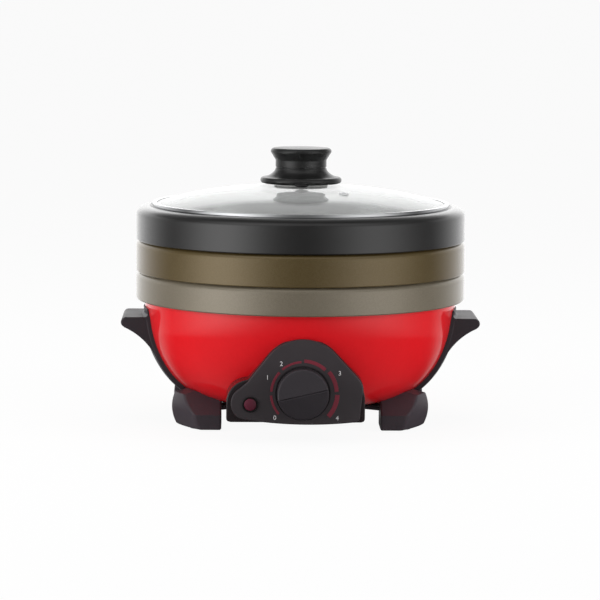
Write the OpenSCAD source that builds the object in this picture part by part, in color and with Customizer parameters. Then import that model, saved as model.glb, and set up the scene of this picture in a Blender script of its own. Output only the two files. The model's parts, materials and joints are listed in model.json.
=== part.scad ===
// Electric multicooker: a heated bowl-shaped base with three interchangeable nesting pots
// and a lift-off glass lid. +Z is up, the control panel faces -Y, the feet stand on Z = 0.

/* [Pots] */
// Outer radius of the rim bands
band_r = 147.5; // [130:0.5:165]
// Wall of the rim bands
band_t = 3; // [2:0.1:4]
// Height of the champagne pot's band above the table
grey_z = 109.8; // [100:0.2:120]
// Height of the champagne pot's band that shows
grey_band_h = 24.6; // [22:0.1:32]
// Height of the bronze pot's band that shows
bronze_band_h = 28.3; // [22:0.1:32]
// Height of the black pot's band up to its rim
black_band_h = 30.3; // [24:0.1:36]
// Rounding of a band's lower edge
band_edge_r = 2.6; // [1:0.1:2.8]
// Width of the rounded shoulder above a band
shoulder_w = 12; // [9:0.5:13]
// Height of the rounded shoulder above a band
shoulder_h = 7; // [5:0.5:9]
// Width of the ledge that the lid sits on, out from a bowl level with its band's lower edge
ledge_w = 10.7; // [10:0.1:14]
// Depth of the ledge that the lid sits on
seat_depth = 2.6; // [1.8:0.1:3.2]
// Wall of the bowls
bowl_t = 2; // [1.2:0.1:2.4]
// Lean of the bowl wall from the vertical, in degrees
bowl_flare = 8; // [7:0.5:10]
// Inner radius of the bowl's bottom corner
bowl_corner_r = 34; // [24:1:40]

/* [Shell] */
// Height of the shell's bottom above the table
shell_z = 21.2; // [19:0.2:24]
// Space between the shell's rim and the band around it
shell_rim_gap = 3.6; // [3:0.1:5]
// How far the shell's rim reaches up into the band
shell_lap = 1.3; // [0.8:0.1:2]
// Width of the shell's oval bottom corner
shell_corner_w = 61; // [58:0.5:64]
// Height of the shell's oval bottom corner
shell_corner_h = 84; // [80:0.5:88]
// Lean of the shell wall from the vertical, in degrees
shell_flare = 9; // [8:0.5:11]
// Sheet thickness of the shell
shell_t = 1.2; // [0.8:0.1:2]
// Width of the flat ring of the shell's bottom
shell_floor_w = 17; // [15:0.5:20]
// Space between the shell and the reflector liner
liner_gap = 7; // [5.5:0.5:8]
// Sheet thickness of the reflector liner
liner_t = 0.8; // [0.5:0.1:1.2]

/* [Heater] */
// Height of the hot plate's top above the shell's bottom
heater_h = 24.8; // [22:0.1:30]
// How far the hot plate stands out past the flat of the shell's bottom
plate_over = 6; // [3:0.5:8]
// Thickness of the hot plate
plate_t = 11; // [9.5:0.5:13]
// Distance of the heating element's ring from the plate's edge
element_inset = 24; // [20:0.5:26]
// Radius of the heating element's tube
element_tube_r = 4; // [3:0.1:4.3]
// Distance of the plate posts from the heating element's ring
post_inset = 18; // [16:0.5:20]
// Radius of a plate post
post_r = 5; // [4:0.1:6]

/* [Lid] */
// Space around the lid on its ledge
lid_gap = 1; // [0.6:0.1:2]
// Height of the glass dome above the lid's rim
dome_h = 16; // [12:0.5:28]
// Thickness of the glass
glass_t = 3.4; // [3:0.1:5]
// Sheet thickness of the lid's steel rim
lid_rim_t = 0.9; // [0.6:0.1:1.2]
// Width of the fold of the lid's steel rim over the glass
lid_fold_w = 4; // [3:0.1:6]
// Radius of the knob's foot
knob_foot_r = 36.5; // [30:0.5:42]
// Radius of the knob's waist
knob_waist_r = 22.9; // [18:0.1:26]
// Radius of the knob's top
knob_top_r = 27.3; // [24:0.1:32]
// Height of the knob above the crown of the glass
knob_h = 33.6; // [31:0.1:37]
// Height of the knob's base above the crown of the glass
knob_base_h = 16.2; // [13:0.1:18]
// Radius of the steam vent's bore
vent_r = 2; // [1.5:0.1:2.5]
// Distance of the steam vent from the lid's edge
vent_inset = 64; // [40:0.5:76]

/* [Controls] */
// How far the panel's front face stays behind the bands
panel_inset = 6.5; // [4:0.1:8]
// Thickness of the panel
panel_t = 4; // [3:0.5:6]
// Height of the dial's axis above the table
dial_z = 43.4; // [42:0.2:46]
// Radius of the dial
dial_r = 22; // [20:0.1:22.8]
// Height of the dial's ridge in front of the panel
dial_h = 14; // [12:0.5:18]
// Height of the dial's edge at the ridge's sides, in front of the panel
dial_edge_h = 6; // [5:0.5:9]
// Angle of the dial's ridge from the horizontal, in degrees
dial_tilt = 13; // [0:1:40]
// Radius of the thermostat spindle
spindle_r = 3; // [2.5:0.1:3.2]
// Radius of the indicator lamp's lens
lamp_r = 5; // [4:0.1:5.5]
// Distance of the lamp to the left of the dial's axis
lamp_x = 45; // [43:0.5:47]
// Distance of the lamp below the dial's axis
lamp_drop = 9.8; // [7:0.2:11]
// Depth of the control housing behind the panel
housing_depth = 45; // [40:0.5:48]

/* [Handles and legs] */
// How far a handle's tip stands out past the bands
handle_out = 12.6; // [9:0.1:18]
// Distance of the handles' top face below the bands
handle_drop = 14.8; // [12:0.2:18]
// Width of a handle and its strap
handle_w = 68; // [60:0.5:72]
// Thickness of a handle at its tip
handle_tip_t = 9.2; // [7:0.1:10]
// Thickness of a strap on the shell
strap_t = 4; // [2.5:0.1:5]
// How far a leg's belly stands out past the flat of the shell's bottom
leg_out = 44; // [41:0.5:46]
// How far a leg's foot is drawn in from its belly
leg_draw_in = 4.5; // [2:0.5:6]
// How far a leg reaches in under the flat of the shell's bottom
leg_in = 7.5; // [5:0.5:9]
// How far a leg's front face stays behind the edge of the flat of the shell's bottom
leg_front_in = 0.5; // [0:0.5:3]
// Depth of a leg from front to rear
leg_depth = 37; // [30:0.5:38]
// Radius of a rubber foot
pad_r = 9; // [7:0.1:10]

/* [Cord gland] */
// Radius of the cord gland's bore
gland_bore_r = 3.6; // [3:0.1:4.2]
// Length of the cord gland's bore
gland_bore_l = 28; // [24:0.5:32]

/* [Hidden] */
$fn = 96;

// Clearances
fit_gap = 0.1;
seat_gap = 0.3;
spindle_gap = 0.05;
hole_gap = 0.2;
past = 1;

// Colours
RED = [0.80, 0.13, 0.16];
BLACK = [0.13, 0.12, 0.13];
BRONZE = [0.40, 0.34, 0.24];
CHAMPAGNE = [0.48, 0.45, 0.41];
STEEL = [0.75, 0.75, 0.76];
ALUMINIUM = [0.80, 0.81, 0.82];
GLASS = [0.85, 0.90, 0.90, 0.35];
CERAMIC = [0.90, 0.88, 0.82];
RUBBER = [0.20, 0.20, 0.20];

// Points of a circular arc, and of an elliptic one
arc_steps = 14;
function arc(c, r, a0, a1, n = arc_steps) = oval(c, r, r, a0, a1, n);
function oval(c, rx, rz, a0, a1, n = arc_steps) =
    [for (i = [0:n]) let (a = a0 + (a1 - a0) * i / n) [c[0] + rx * cos(a), c[1] + rz * sin(a)]];
function back(list) = [for (i = [len(list) - 1:-1:0]) list[i]];

// Pots, from the band inward
rim_top_r = band_r - shoulder_w;
rim_crest_w = 1.5;
lid_seat_r = rim_top_r - rim_crest_w;
bowl_r = lid_seat_r - ledge_w;
bowl_edge = 1.5;
under_edge = 1.5;
// Stack of the pots, from the table up
bronze_z = grey_z + grey_band_h;
black_z = bronze_z + bronze_band_h;
plate_top_z = shell_z + heater_h;
bowl_depth = grey_z - plate_top_z - seat_gap;
// A pot's shoulder reaches up inside the band above it
band_lip_r = band_r - (band_t + band_edge_r) / 2;
lip_cos = (band_lip_r - rim_top_r) / shoulder_w;
nest_h = shoulder_h * (1 - sqrt(1 - lip_cos * lip_cos)) - seat_gap;
seat_z = black_z + black_band_h - seat_depth;

// Shell surface, moved in by d: oval bottom corner, then the leaning wall up to height z
shell_rim_r = band_r - band_t - shell_rim_gap;
shell_top_z = grey_z + shell_lap;
function wall_turn(d) = -atan((shell_corner_h - d) / (shell_corner_w - d) * tan(shell_flare));
wall_foot_z = shell_z + shell_corner_h * (1 + sin(wall_turn(0)));
shell_floor_r = shell_rim_r - (shell_top_z - wall_foot_z) * tan(shell_flare)
    - shell_corner_w * cos(wall_turn(0));
shell_mouth_r = shell_floor_r - shell_floor_w;
shell_c = [shell_floor_r, shell_z + shell_corner_h];
function corner_point(a, d) =
    shell_c + [(shell_corner_w - d) * cos(a), (shell_corner_h - d) * sin(a)];
function wall_foot(d) = corner_point(wall_turn(d), d);
function wall_r(z, d = 0) = wall_foot(d)[0] + (z - wall_foot(d)[1]) * tan(shell_flare);
function shell_r(z, d = 0) = z > wall_foot(d)[1] ? wall_r(z, d)
    : corner_point(asin((z - shell_c[1]) / (shell_corner_h - d)), d)[0];
corner_steps = 18;
function shell_corner(d, a0 = -90) =
    oval(shell_c, shell_corner_w - d, shell_corner_h - d, a0, wall_turn(d), corner_steps);
function shell_side(d, z = shell_top_z) = concat(shell_corner(d), [[wall_r(z, d), z]]);
liner_mouth_r = shell_floor_r - 3 * shell_t;

// Lid
lid_r = lid_seat_r - lid_gap;
lid_z = seat_z + seat_gap;
glass_edge_r = lid_r - lid_rim_t - fit_gap;
rim_channel_r = lid_r - lid_fold_w;
glass_edge_z = lid_z + lid_rim_t + fit_gap;
crown_z = glass_edge_z + glass_t + dome_h;
dome_power = 2.5;
dome_steps = 18;
function dome_z(r, d = 0) = crown_z - d - dome_h * pow(r / rim_channel_r, dome_power);
function dome_run(r0, r1, d = 0, n = dome_steps) =
    [for (i = [0:n]) let (r = r0 + (r1 - r0) * i / n) [r, dome_z(r, d)]];
knob_hole_r = 4;
gasket_t = 1;
gasket_r = knob_foot_r - 3;
knob_top_z = crown_z + knob_h;
knob_crown = 0.6;
knob_foot_t = 7;
knob_foot_gap = 0.2;
knob_split_z = crown_z + knob_base_h;
knob_groove = 0.5;
knob_neck_h = 6.7;
knob_lip_t = 4.1;
knob_edge_r = 3.2;
knob_flare_power = 1.6;
knob_washer_r = 11;
knob_washer_t = 1.5;
knob_washer_steps = 6;
knob_screw_r = 2.5;
knob_screw_l = 20;
knob_head_r = 5;
knob_head_h = 2.6;
vent_ring_r = lid_r - vent_inset;
vent_turn = -58;
vent_flange_r = 4.6;
vent_flange_t = 0.7;
vent_flange_edge = 0.5;
vent_tube_r = vent_r + 0.8;
vent_seat_gap = 0.25;

// Base and fasteners
base_t = 2.2;
base_r = shell_floor_r - 1;
base_z = shell_z - base_t;
tab_t = 4;
tab_w = 16;
tab_z = base_z - tab_t;
screw_r = 2;
screw_head_r = 3.8;
screw_head_h = 2.4;
nut_r = 3.9;
nut_t = 3;
tab_ring_r = (shell_mouth_r + base_r) / 2;
air_slots = 12;
air_slot_ring_r = 24;
air_slot_l = 14;
air_slot_w = 3;

// Handles, legs and feet
handle_reach = band_r + handle_out;
handle_top_z = grey_z - handle_drop;
strap_rise = 7.5;
strap_top_z = handle_top_z + strap_rise;
strap_edge = 2;
strap_end_turn = -68;
handle_root = 3;
handle_under_r = 58;
handle_under_out = 20.4;
handle_under_rise = 4.9;
handle_under_c = [handle_reach + handle_under_out,
    handle_top_z - handle_tip_t - handle_under_r + handle_under_rise];
handle_under_turns = [152, 113.5];
ear_root = 12;
handle_screw_y = 18;
handle_screw_drop = 5.5;
handle_screw_z = handle_top_z - handle_screw_drop;
handle_screw_bite = 9;
leg_belly_r = shell_floor_r + leg_out;
leg_inner_x = shell_floor_r - leg_in;
leg_front_y = shell_floor_r - leg_front_in;
leg_z = 0.8;
leg_belly_z = 17;
leg_knee_z = 14;
leg_lean = 48;
leg_top_z = 30;
leg_chamfer_w = 12;
leg_chamfer_h = 3.6;
leg_steps = 10;
leg_turn = atan2(leg_front_y - leg_depth / 2, (leg_inner_x + leg_belly_r - leg_draw_in) / 2);
leg_turns = [leg_turn, 180 - leg_turn, 180 + leg_turn, -leg_turn];
pad_t = 2.3;
pad_x = leg_inner_x + 19;
pad_y = leg_front_y - leg_depth / 2;

// Heater
plate_z = plate_top_z - plate_t;
plate_r = shell_floor_r + plate_over;
element_r = plate_r - element_inset;
element_gap = 0.3;
element_turn = 310;
element_start = -65;
element_z = plate_z + element_tube_r;
pin_r = 3;
pin_inset = 3;
pin_z = plate_z - 6;
spade_w = 6;
spade_t = 0.8;
spade_z = shell_z + 2;
spade_turn = element_start + pin_inset;
spade_x = element_r * cos(spade_turn);
spade_y = element_r * sin(spade_turn);
clip_turns = [0, 90, 180];
clip_t = 1.5;
clip_w = 8;
clip_over = 3;
clip_screw_r = 1.5;
clip_head_r = 2.8;
clip_head_h = 1.8;
clip_screw_ring_r = element_r - element_tube_r - 6;
clip_inner_r = clip_screw_ring_r - 4;
post_ring_r = element_r - post_inset;
post_turns = [30, 150, 270];
post_screw_bite = 6;

// Controls
panel_y = band_r - panel_inset;
panel_bevel = 1;
recess_gap = 1.3;
recess_depth = 1.5;
panel_back_y = panel_y - panel_t;
recess_y = panel_y - recess_depth;
dial_back_y = recess_y + 0.5;
dial_front = panel_y + dial_h;
dial_crest = 1.6;
dial_hollow = 4;
dial_wall = 2.3;
dial_hub_r = spindle_r + 3;
dial_bore_l = 9;
dial_bore_gap = 0.02;
spindle_hole_gap = 0.6;
spindle_seat = 9;
thermostat_w = 34;
thermostat_h = 30;
thermostat_d = 13;
thermostat_pitch = 28;
thermostat_screw_bite = 4.5;
thermostat_head_r = 3.4;
thermostat_head_h = 1.8;
thermostat_foot_z = dial_z - thermostat_h / 2;
housing_wall = 2.2;
housing_over = 0.8;
housing_left_x = -65.5;
housing_right_x = 53.5;
housing_z = 17.6;
housing_side_h = 19;
housing_back_y = panel_back_y - housing_depth;
housing_corner_r = 3.5;
housing_lobe_r = 20.3;
housing_cheek_r = 19.8;
housing_cheek_drop = 6;
housing_lip = 1.8;
window_x = 26;
window_z0 = shell_z + 3.5;
window_z1 = dial_z + 19;
pillar_x = 24;
pillar_z = dial_z + 28;
pillar_r = 4.2;
panel_screw_bite = 1.5;
lamp_hole_r = lamp_r - 0.2;
lamp_flange_r = lamp_r + 1;
lamp_flange_t = 1.2;
lamp_flange_edge = 0.5;
lamp_crown = 1.4;
lamp_crown_r = lamp_r - 0.6;
lamp_z = dial_z - lamp_drop;
lamp_body_r = lamp_r - 0.5;
lamp_body_l = 14;
lamp_tag_x = 2.5;

// The pot axis sits behind the middle of the footprint, because the dial stands out in front
axis_y = (dial_front - band_r) / 2;

// Cord gland, under the rear of the base
gland_drop = 7.5;
gland_z = base_z - gland_drop;
gland_w = 20;
gland_h = 13;
gland_wall = 6;
gland_inner_y = base_r - 22;
gland_y = gland_inner_y + gland_bore_l;
gland_lug_x = 17;
gland_lug_w = 2;
gland_lug_y = sqrt(tab_ring_r * tab_ring_r - gland_lug_x * gland_lug_x);
tab_screws = concat(
    [for (a = leg_turns) tab_ring_r * [cos(a), sin(a)]],
    [[0, -tab_ring_r], [gland_lug_x, gland_lug_y], [-gland_lug_x, gland_lug_y]]);

// Terminal block
block_w = 30;
block_d = 12;
block_h = 9.5;
block_y = gland_inner_y - 24;
block_hole_x = 7;
block_hole_r = 2.2;
block_hole_l = 5;

// Inner leads: each starts and ends square to a terminal, just clear of it
lead_r = 1.3;
thin_lead_r = 1;
lead_end_gap = 0.3;
lead_z = shell_z + 4.5;
block_tag_y = block_y - lead_end_gap;
terminal_z = thermostat_foot_z - lead_end_gap;
terminal_y = -panel_back_y + 7;
terminal_x = 8;
under_y = -panel_back_y + 13;
window_y = -tab_ring_r - 17;
passing_y = -tab_ring_r;
lamp_tag_y = -panel_back_y + lamp_body_l + lead_end_gap;
live_route = [[block_hole_x, block_tag_y, lead_z], [block_hole_x, block_tag_y - 8, lead_z],
    [block_hole_x, 0, lead_z], [block_hole_x + 2, spade_y / 2, lead_z],
    [block_hole_x + 2, spade_y, lead_z], [block_hole_x, passing_y, lead_z],
    [0, window_y, lead_z + 1.4], [-terminal_x, under_y - 2, lead_z - 1],
    [-terminal_x, terminal_y, lead_z - 1], [-terminal_x, terminal_y, terminal_z]];
switched_route = [[terminal_x, terminal_y, terminal_z], [terminal_x, terminal_y, lead_z - 1],
    [terminal_x + 1, under_y, lead_z - 0.6], [terminal_x + 5, window_y, lead_z + 1.4],
    [terminal_x + 8, passing_y, lead_z], [spade_x - 9, spade_y - 9, lead_z],
    [spade_x - 4.6, spade_y - 2.4, lead_z], [spade_x - 1, spade_y - 0.5, lead_z]];
neutral_route = [[-block_hole_x, block_tag_y, lead_z], [-block_hole_x, block_tag_y - 8, lead_z],
    [-block_hole_x - 6, 0, lead_z], [-spade_x + 2, spade_y / 2, lead_z],
    [-spade_x - 4, spade_y + 12, lead_z], [-spade_x - 4, spade_y + 2.5, lead_z],
    [-spade_x - 0.8, spade_y + 0.5, lead_z]];
lamp_switched_route = [[-lamp_x + lamp_tag_x, lamp_tag_y, lamp_z],
    [-lamp_x + lamp_tag_x, lamp_tag_y + 3, lamp_z - 0.5], [-lamp_x + 10, lamp_tag_y, lead_z + 0.6],
    [-lamp_x + 20, terminal_y + 4, lead_z - 1], [-terminal_x - 7, terminal_y, lead_z - 1],
    [-terminal_x - 6, terminal_y, lead_z - 0.4], [-terminal_x - 6, terminal_y, terminal_z]];
lamp_neutral_route = [[-lamp_x - lamp_tag_x, lamp_tag_y, lamp_z],
    [-lamp_x - lamp_tag_x, lamp_tag_y + 3, lamp_z - 0.5], [-lamp_x + 6, lamp_tag_y + 8.5, lead_z + 2],
    [-lamp_x + 18, lamp_tag_y + 9.5, lead_z], [-window_x + 4.5, lamp_tag_y + 19, lead_z + 1],
    [-window_x + 6, window_y, lead_z + 1], [-window_x + 6, passing_y, lead_z],
    [-spade_x + 5, spade_y - 5.6, lead_z - 0.6], [-spade_x + 1, spade_y - 0.6, lead_z - 0.6]];
capillary_r = 1;
bulb_r = 3;
bulb_l = 44;
bulb_x = -15;
bulb_y = spade_y + 5;
bulb_z = plate_z - bulb_r - fit_gap;
capillary_y = -panel_back_y + thermostat_d + lead_end_gap;
capillary_route = [[bulb_x + 3, capillary_y, dial_z - 6], [bulb_x + 3, capillary_y + 2.5, dial_z - 6],
    [bulb_x + 1, capillary_y + 9, lead_z + 6.6], [bulb_x, window_y - 12, lead_z + 3],
    [bulb_x, window_y, lead_z + 1.4], [bulb_x, passing_y - 3, lead_z + 1.4],
    [bulb_x, spade_y - 10, lead_z + 3.4], [bulb_x, bulb_y - 5, bulb_z - 0.6], [bulb_x, bulb_y, bulb_z]];

// Basic shapes
module spun(points) { rotate_extrude() polygon(points); }

module toward_front(y) { translate([0, -y, 0]) rotate([90, 0, 0]) children(); }

module around(turns, r) { for (a = turns) rotate(a) translate([r, 0, 0]) children(); }

// A screw standing on z = 0: its head below, its shank above
module screw(r, length, head_r, head_h) {
    cylinder(r = r, h = length);
    translate([0, 0, -head_h]) cylinder(r = head_r, h = head_h);
}

// A round lead along a route: rings of lead_sides points square to the run
lead_sides = 8;
function unit(v) = v / norm(v);
function run_at(p, i) = unit(p[min(i + 1, len(p) - 1)] - p[max(i - 1, 0)]);
function ring_at(p, i, r) =
    let (t = run_at(p, i), s = unit(cross(t, abs(t[2]) > 0.9 ? [1, 0, 0] : [0, 0, 1])), u = cross(s, t))
    [for (k = [0:lead_sides - 1]) let (a = 360 * k / lead_sides) p[i] + r * (cos(a) * s + sin(a) * u)];
module lead(p, r = lead_r) {
    n = len(p);
    m = lead_sides;
    sides = [for (i = [0:n - 2], k = [0:m - 1], half = [0, 1])
        let (a = i * m + k, b = i * m + (k + 1) % m)
        half == 0 ? [a, b, b + m] : [a, b + m, a + m]];
    caps = [for (k = [1:m - 2], end = [0, 1])
        let (f = (n - 1) * m) end == 0 ? [0, k + 1, k] : [f, f + k, f + k + 1]];
    polyhedron([for (i = [0:n - 1]) each ring_at(p, i, r)], concat(sides, caps));
}

// The shell's outer form as a solid, grown by a clearance, that other pieces are cut by
module shell_form(grow = fit_gap) {
    spun(concat([[0, shell_z - grow]], shell_side(-grow), [[0, shell_top_z]]));
}

// Lid
module glass_dome() {
    color(GLASS) difference() {
        spun(concat(
            dome_run(knob_hole_r, rim_channel_r),
            [[glass_edge_r, glass_edge_z + glass_t], [glass_edge_r, glass_edge_z],
             [rim_channel_r, glass_edge_z]],
            dome_run(rim_channel_r, knob_hole_r, glass_t)));
        at_vent() cylinder(r = vent_tube_r + fit_gap, h = 6 * glass_t, center = true);
    }
}

// The vent stands square to the glass, on the middle of its thickness
module at_vent() {
    slope = atan((dome_z(vent_ring_r - 1) - dome_z(vent_ring_r + 1)) / 2);
    rotate(vent_turn)
        translate([vent_ring_r, 0, dome_z(vent_ring_r, glass_t / 2)])
        rotate([0, slope, 0])
        children();
}

module lid_rim() {
    top = glass_edge_z + glass_t + fit_gap;
    inner = rim_channel_r + fit_gap;
    color(STEEL) spun([
        [inner, lid_z], [lid_r - lid_rim_t, lid_z], [lid_r, lid_z + lid_rim_t],
        [lid_r, top], [lid_r - lid_rim_t, top + lid_rim_t], [inner, top + lid_rim_t], [inner, top],
        [glass_edge_r + fit_gap, top], [glass_edge_r + fit_gap, lid_z + lid_rim_t],
        [inner, lid_z + lid_rim_t]]);
}

module knob_grip() {
    neck_z = knob_split_z + knob_neck_h;
    lip_z = knob_top_z - knob_lip_t;
    color(BLACK) difference() {
        spun(concat(
            [[0, knob_split_z + fit_gap], [knob_waist_r - knob_groove, knob_split_z + fit_gap],
             [knob_waist_r - knob_groove, knob_split_z + knob_groove],
             [knob_waist_r, knob_split_z + knob_groove], [knob_waist_r, neck_z],
             [knob_top_r, lip_z]],
            arc([knob_top_r - knob_edge_r, knob_top_z - knob_edge_r], knob_edge_r, 0, 90),
            [[0, knob_top_z + knob_crown]]));
        knob_screw_hole();
    }
}

// The base's hollow flank, fuller than a quarter of an oval
function knob_flank(c, w, h) = let (p = 2 / knob_flare_power)
    [for (i = [0:corner_steps]) let (a = 90 * i / corner_steps)
        [c[0] - w * pow(cos(a), p), c[1] - h * pow(sin(a), p)]];

module knob_base() {
    seat = gasket_t + fit_gap;
    edge = knob_foot_t / 2;
    foot_z = dome_z(knob_foot_r) + seat + knob_foot_gap;
    color(BLACK) difference() {
        spun(concat(
            dome_run(knob_foot_r - edge, 0, -seat),
            [[0, knob_split_z], [knob_waist_r - knob_groove, knob_split_z],
             [knob_waist_r - knob_groove, knob_split_z - knob_groove],
             [knob_waist_r, knob_split_z - knob_groove]],
            knob_flank([knob_foot_r - edge, knob_split_z - knob_groove], knob_foot_r - edge - knob_waist_r,
                knob_split_z - knob_groove - foot_z - knob_foot_t),
            arc([knob_foot_r - edge, foot_z + edge], edge, 90, -90)));
        knob_screw_hole();
    }
}

module knob_screw_hole() {
    z = crown_z - glass_t - knob_washer_t;
    translate([0, 0, z]) cylinder(r = knob_screw_r + hole_gap, h = knob_screw_l + past);
}

module knob_gasket() {
    color(BLACK) spun(concat(
        dome_run(knob_screw_r + fit_gap, gasket_r, -fit_gap / 2),
        dome_run(gasket_r, knob_screw_r + fit_gap, -gasket_t)));
}

module knob_washer() {
    under = glass_t + fit_gap;
    color(STEEL) spun(concat(
        dome_run(knob_screw_r + fit_gap, knob_washer_r, under + knob_washer_t, knob_washer_steps),
        dome_run(knob_washer_r, knob_screw_r + fit_gap, under, knob_washer_steps)));
}

module knob_screw() {
    seat = crown_z - glass_t - knob_washer_t - 2 * fit_gap;
    color(STEEL) translate([0, 0, seat]) screw(knob_screw_r, knob_screw_l, knob_head_r, knob_head_h);
}

module vent_eyelet() {
    half = glass_t / 2 + vent_seat_gap;
    color(STEEL) at_vent() difference() {
        union() {
            cylinder(r = vent_tube_r, h = 2 * half, center = true);
            for (side = [0, 1]) mirror([0, 0, side]) translate([0, 0, half])
                cylinder(r1 = vent_flange_r, r2 = vent_flange_r - vent_flange_edge, h = vent_flange_t);
        }
        cylinder(r = vent_r, h = 4 * half, center = true);
    }
}

// Pots: one section for all three, set by the height of the band's lower edge and its height
module pot(z, h) {
    rim = z + h;
    seat = rim - seat_depth;
    wall = bowl_t / cos(bowl_flare);
    corner_z = z - bowl_depth + bowl_t + bowl_corner_r;
    foot_z = corner_z - bowl_corner_r * sin(bowl_flare);
    corner = [inner_r(foot_z - z) - bowl_corner_r * cos(bowl_flare), corner_z];
    shoulder = [rim_top_r, rim - shoulder_h];
    under = seat - bowl_t;
    spun(concat(
        [[0, z - bowl_depth]],
        arc(corner, bowl_corner_r + bowl_t, -90, -bowl_flare),
        [[inner_r(under - z) + wall, under], [rim_top_r + under_edge, under]],
        oval(shoulder, shoulder_w - band_t, shoulder_h - bowl_t, 55, 0),
        [[band_r - band_t, z + band_edge_r], [band_r - band_t, z]],
        arc([band_r - band_edge_r, z + band_edge_r], band_edge_r, -90, 0),
        oval(shoulder, shoulder_w, shoulder_h, 0, 90),
        [[lid_seat_r, seat], [inner_r(seat - z) + bowl_edge, seat],
         [inner_r(seat - bowl_edge - z), seat - bowl_edge]],
        arc(corner, bowl_corner_r, -bowl_flare, -90),
        [[0, z - bowl_depth + bowl_t]]));
}

// Inner radius of a bowl's wall, h above its band's lower edge
function inner_r(h) = bowl_r + h * tan(bowl_flare);

module grey_pot() { color(CHAMPAGNE) pot(grey_z, grey_band_h + nest_h); }

module bronze_pot() { color(BRONZE) pot(bronze_z, bronze_band_h + nest_h); }

module black_pot() { color(BLACK) pot(black_z, black_band_h); }

// Shell, liner and base
module outer_shell() {
    color(RED) difference() {
        spun(concat(
            [[shell_mouth_r, shell_z]], shell_side(0), back(shell_side(shell_t)),
            [[shell_mouth_r, shell_z + shell_t]]));
        translate([-window_x, -band_r, window_z0])
            cube([2 * window_x, band_r - shell_mouth_r, window_z1 - window_z0]);
        base_screw_holes();
        panel_screw_holes();
        handle_screw_holes();
    }
}

module inner_liner() {
    out = shell_t + liner_gap;
    flange_r = wall_r(shell_top_z);
    color(ALUMINIUM) spun(concat(
        [[liner_mouth_r, shell_z + out]], shell_side(out),
        [[flange_r, shell_top_z], [flange_r, shell_top_z + liner_t],
         [wall_r(shell_top_z + liner_t, out + liner_t), shell_top_z + liner_t]],
        back(shell_corner(out + liner_t)),
        [[liner_mouth_r, shell_z + out + liner_t]]));
}

module base_plate() {
    slot_turn = 360 / air_slots;
    slot_turns = [for (i = [1:air_slots]) (i - 0.5) * slot_turn];
    color(BLACK) difference() {
        translate([0, 0, base_z]) cylinder(r = base_r, h = base_t);
        base_screw_holes();
        translate([0, 0, base_z - past])
            around(post_turns, post_ring_r) cylinder(r = screw_r + hole_gap, h = base_t + 2 * past);
        translate([0, gland_inner_y, base_z - past])
            cylinder(r = gland_bore_r + hole_gap, h = base_t + 2 * past);
        translate([0, 0, base_z - past]) around(slot_turns, air_slot_ring_r)
            translate([-air_slot_l / 2, -air_slot_w / 2, 0])
            cube([air_slot_l, air_slot_w, base_t + 2 * past]);
    }
}

module base_screw_holes() {
    for (p = tab_screws)
        translate([p[0], p[1], tab_z - past])
            cylinder(r = screw_r + hole_gap, h = tab_t + base_t + shell_t + 2 * past);
}

module base_screws() {
    stack = tab_t - screw_head_h + base_t + shell_t;
    color(STEEL) for (p = tab_screws)
        translate([p[0], p[1], tab_z + screw_head_h])
            screw(screw_r, stack + nut_t, screw_head_r, screw_head_h);
}

module base_nuts() {
    color(STEEL) for (p = tab_screws)
        translate([p[0], p[1], shell_z + shell_t]) difference() {
            cylinder(r = nut_r, h = nut_t, $fn = 6);
            translate([0, 0, -past]) cylinder(r = screw_r + fit_gap, h = nut_t + 2 * past);
        }
}

// A screw hole through a tab, with room for the head from below
module tab_hole() {
    translate([0, 0, tab_z - past]) cylinder(r = screw_r + hole_gap, h = tab_t + 2 * past);
    translate([0, 0, tab_z - past]) cylinder(r = screw_head_r + hole_gap, h = screw_head_h + past);
}

// Heater
module hot_plate() {
    groove_w = element_tube_r + element_gap;
    color(ALUMINIUM) difference() {
        translate([0, 0, plate_z]) cylinder(r = plate_r, h = plate_t);
        rotate_extrude() translate([element_r - groove_w, plate_z - past])
            square([2 * groove_w, 2 * element_tube_r + element_gap + past]);
        translate([0, 0, plate_z - past]) around(post_turns, post_ring_r)
            cylinder(r = screw_r + hole_gap, h = post_screw_bite + past + fit_gap);
        translate([0, 0, plate_z - past]) around(clip_turns, clip_screw_ring_r)
            cylinder(r = clip_screw_r + hole_gap, h = post_screw_bite + past);
    }
}

module heating_element() {
    color(STEEL) {
        translate([0, 0, element_z]) rotate(element_start)
            rotate_extrude(angle = element_turn) translate([element_r, 0]) circle(r = element_tube_r);
        around([spade_turn, spade_turn + element_turn - 2 * pin_inset], element_r) element_end();
    }
}

// A cold end of the element: a pin down and a flat spade
module element_end() {
    translate([0, 0, pin_z]) cylinder(r = pin_r, h = element_z - pin_z);
    translate([-spade_w / 2, -spade_t / 2, spade_z]) cube([spade_w, spade_t, pin_z - spade_z + past]);
}

module element_clips() {
    color(STEEL) difference() {
        around(clip_turns, clip_inner_r) translate([0, -clip_w / 2, plate_z - clip_t])
            cube([element_r + element_tube_r + clip_over - clip_inner_r, clip_w, clip_t]);
        around(clip_turns, clip_screw_ring_r) translate([0, 0, plate_z - clip_t - past])
            cylinder(r = clip_screw_r + hole_gap, h = clip_t + 2 * past);
    }
}

module clip_screws() {
    color(STEEL) around(clip_turns, clip_screw_ring_r)
        translate([0, 0, plate_z - clip_t])
        screw(clip_screw_r, clip_t + post_screw_bite - past, clip_head_r, clip_head_h);
}

module plate_posts() {
    color(STEEL) translate([0, 0, shell_z]) around(post_turns, post_ring_r) difference() {
        cylinder(r = post_r, h = plate_z - shell_z);
        translate([0, 0, -past]) cylinder(r = screw_r + hole_gap, h = plate_z - shell_z + 2 * past);
    }
}

module post_screws() {
    color(STEEL) translate([0, 0, base_z]) around(post_turns, post_ring_r)
        screw(screw_r, plate_z - base_z + post_screw_bite, screw_head_r, screw_head_h);
}

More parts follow.
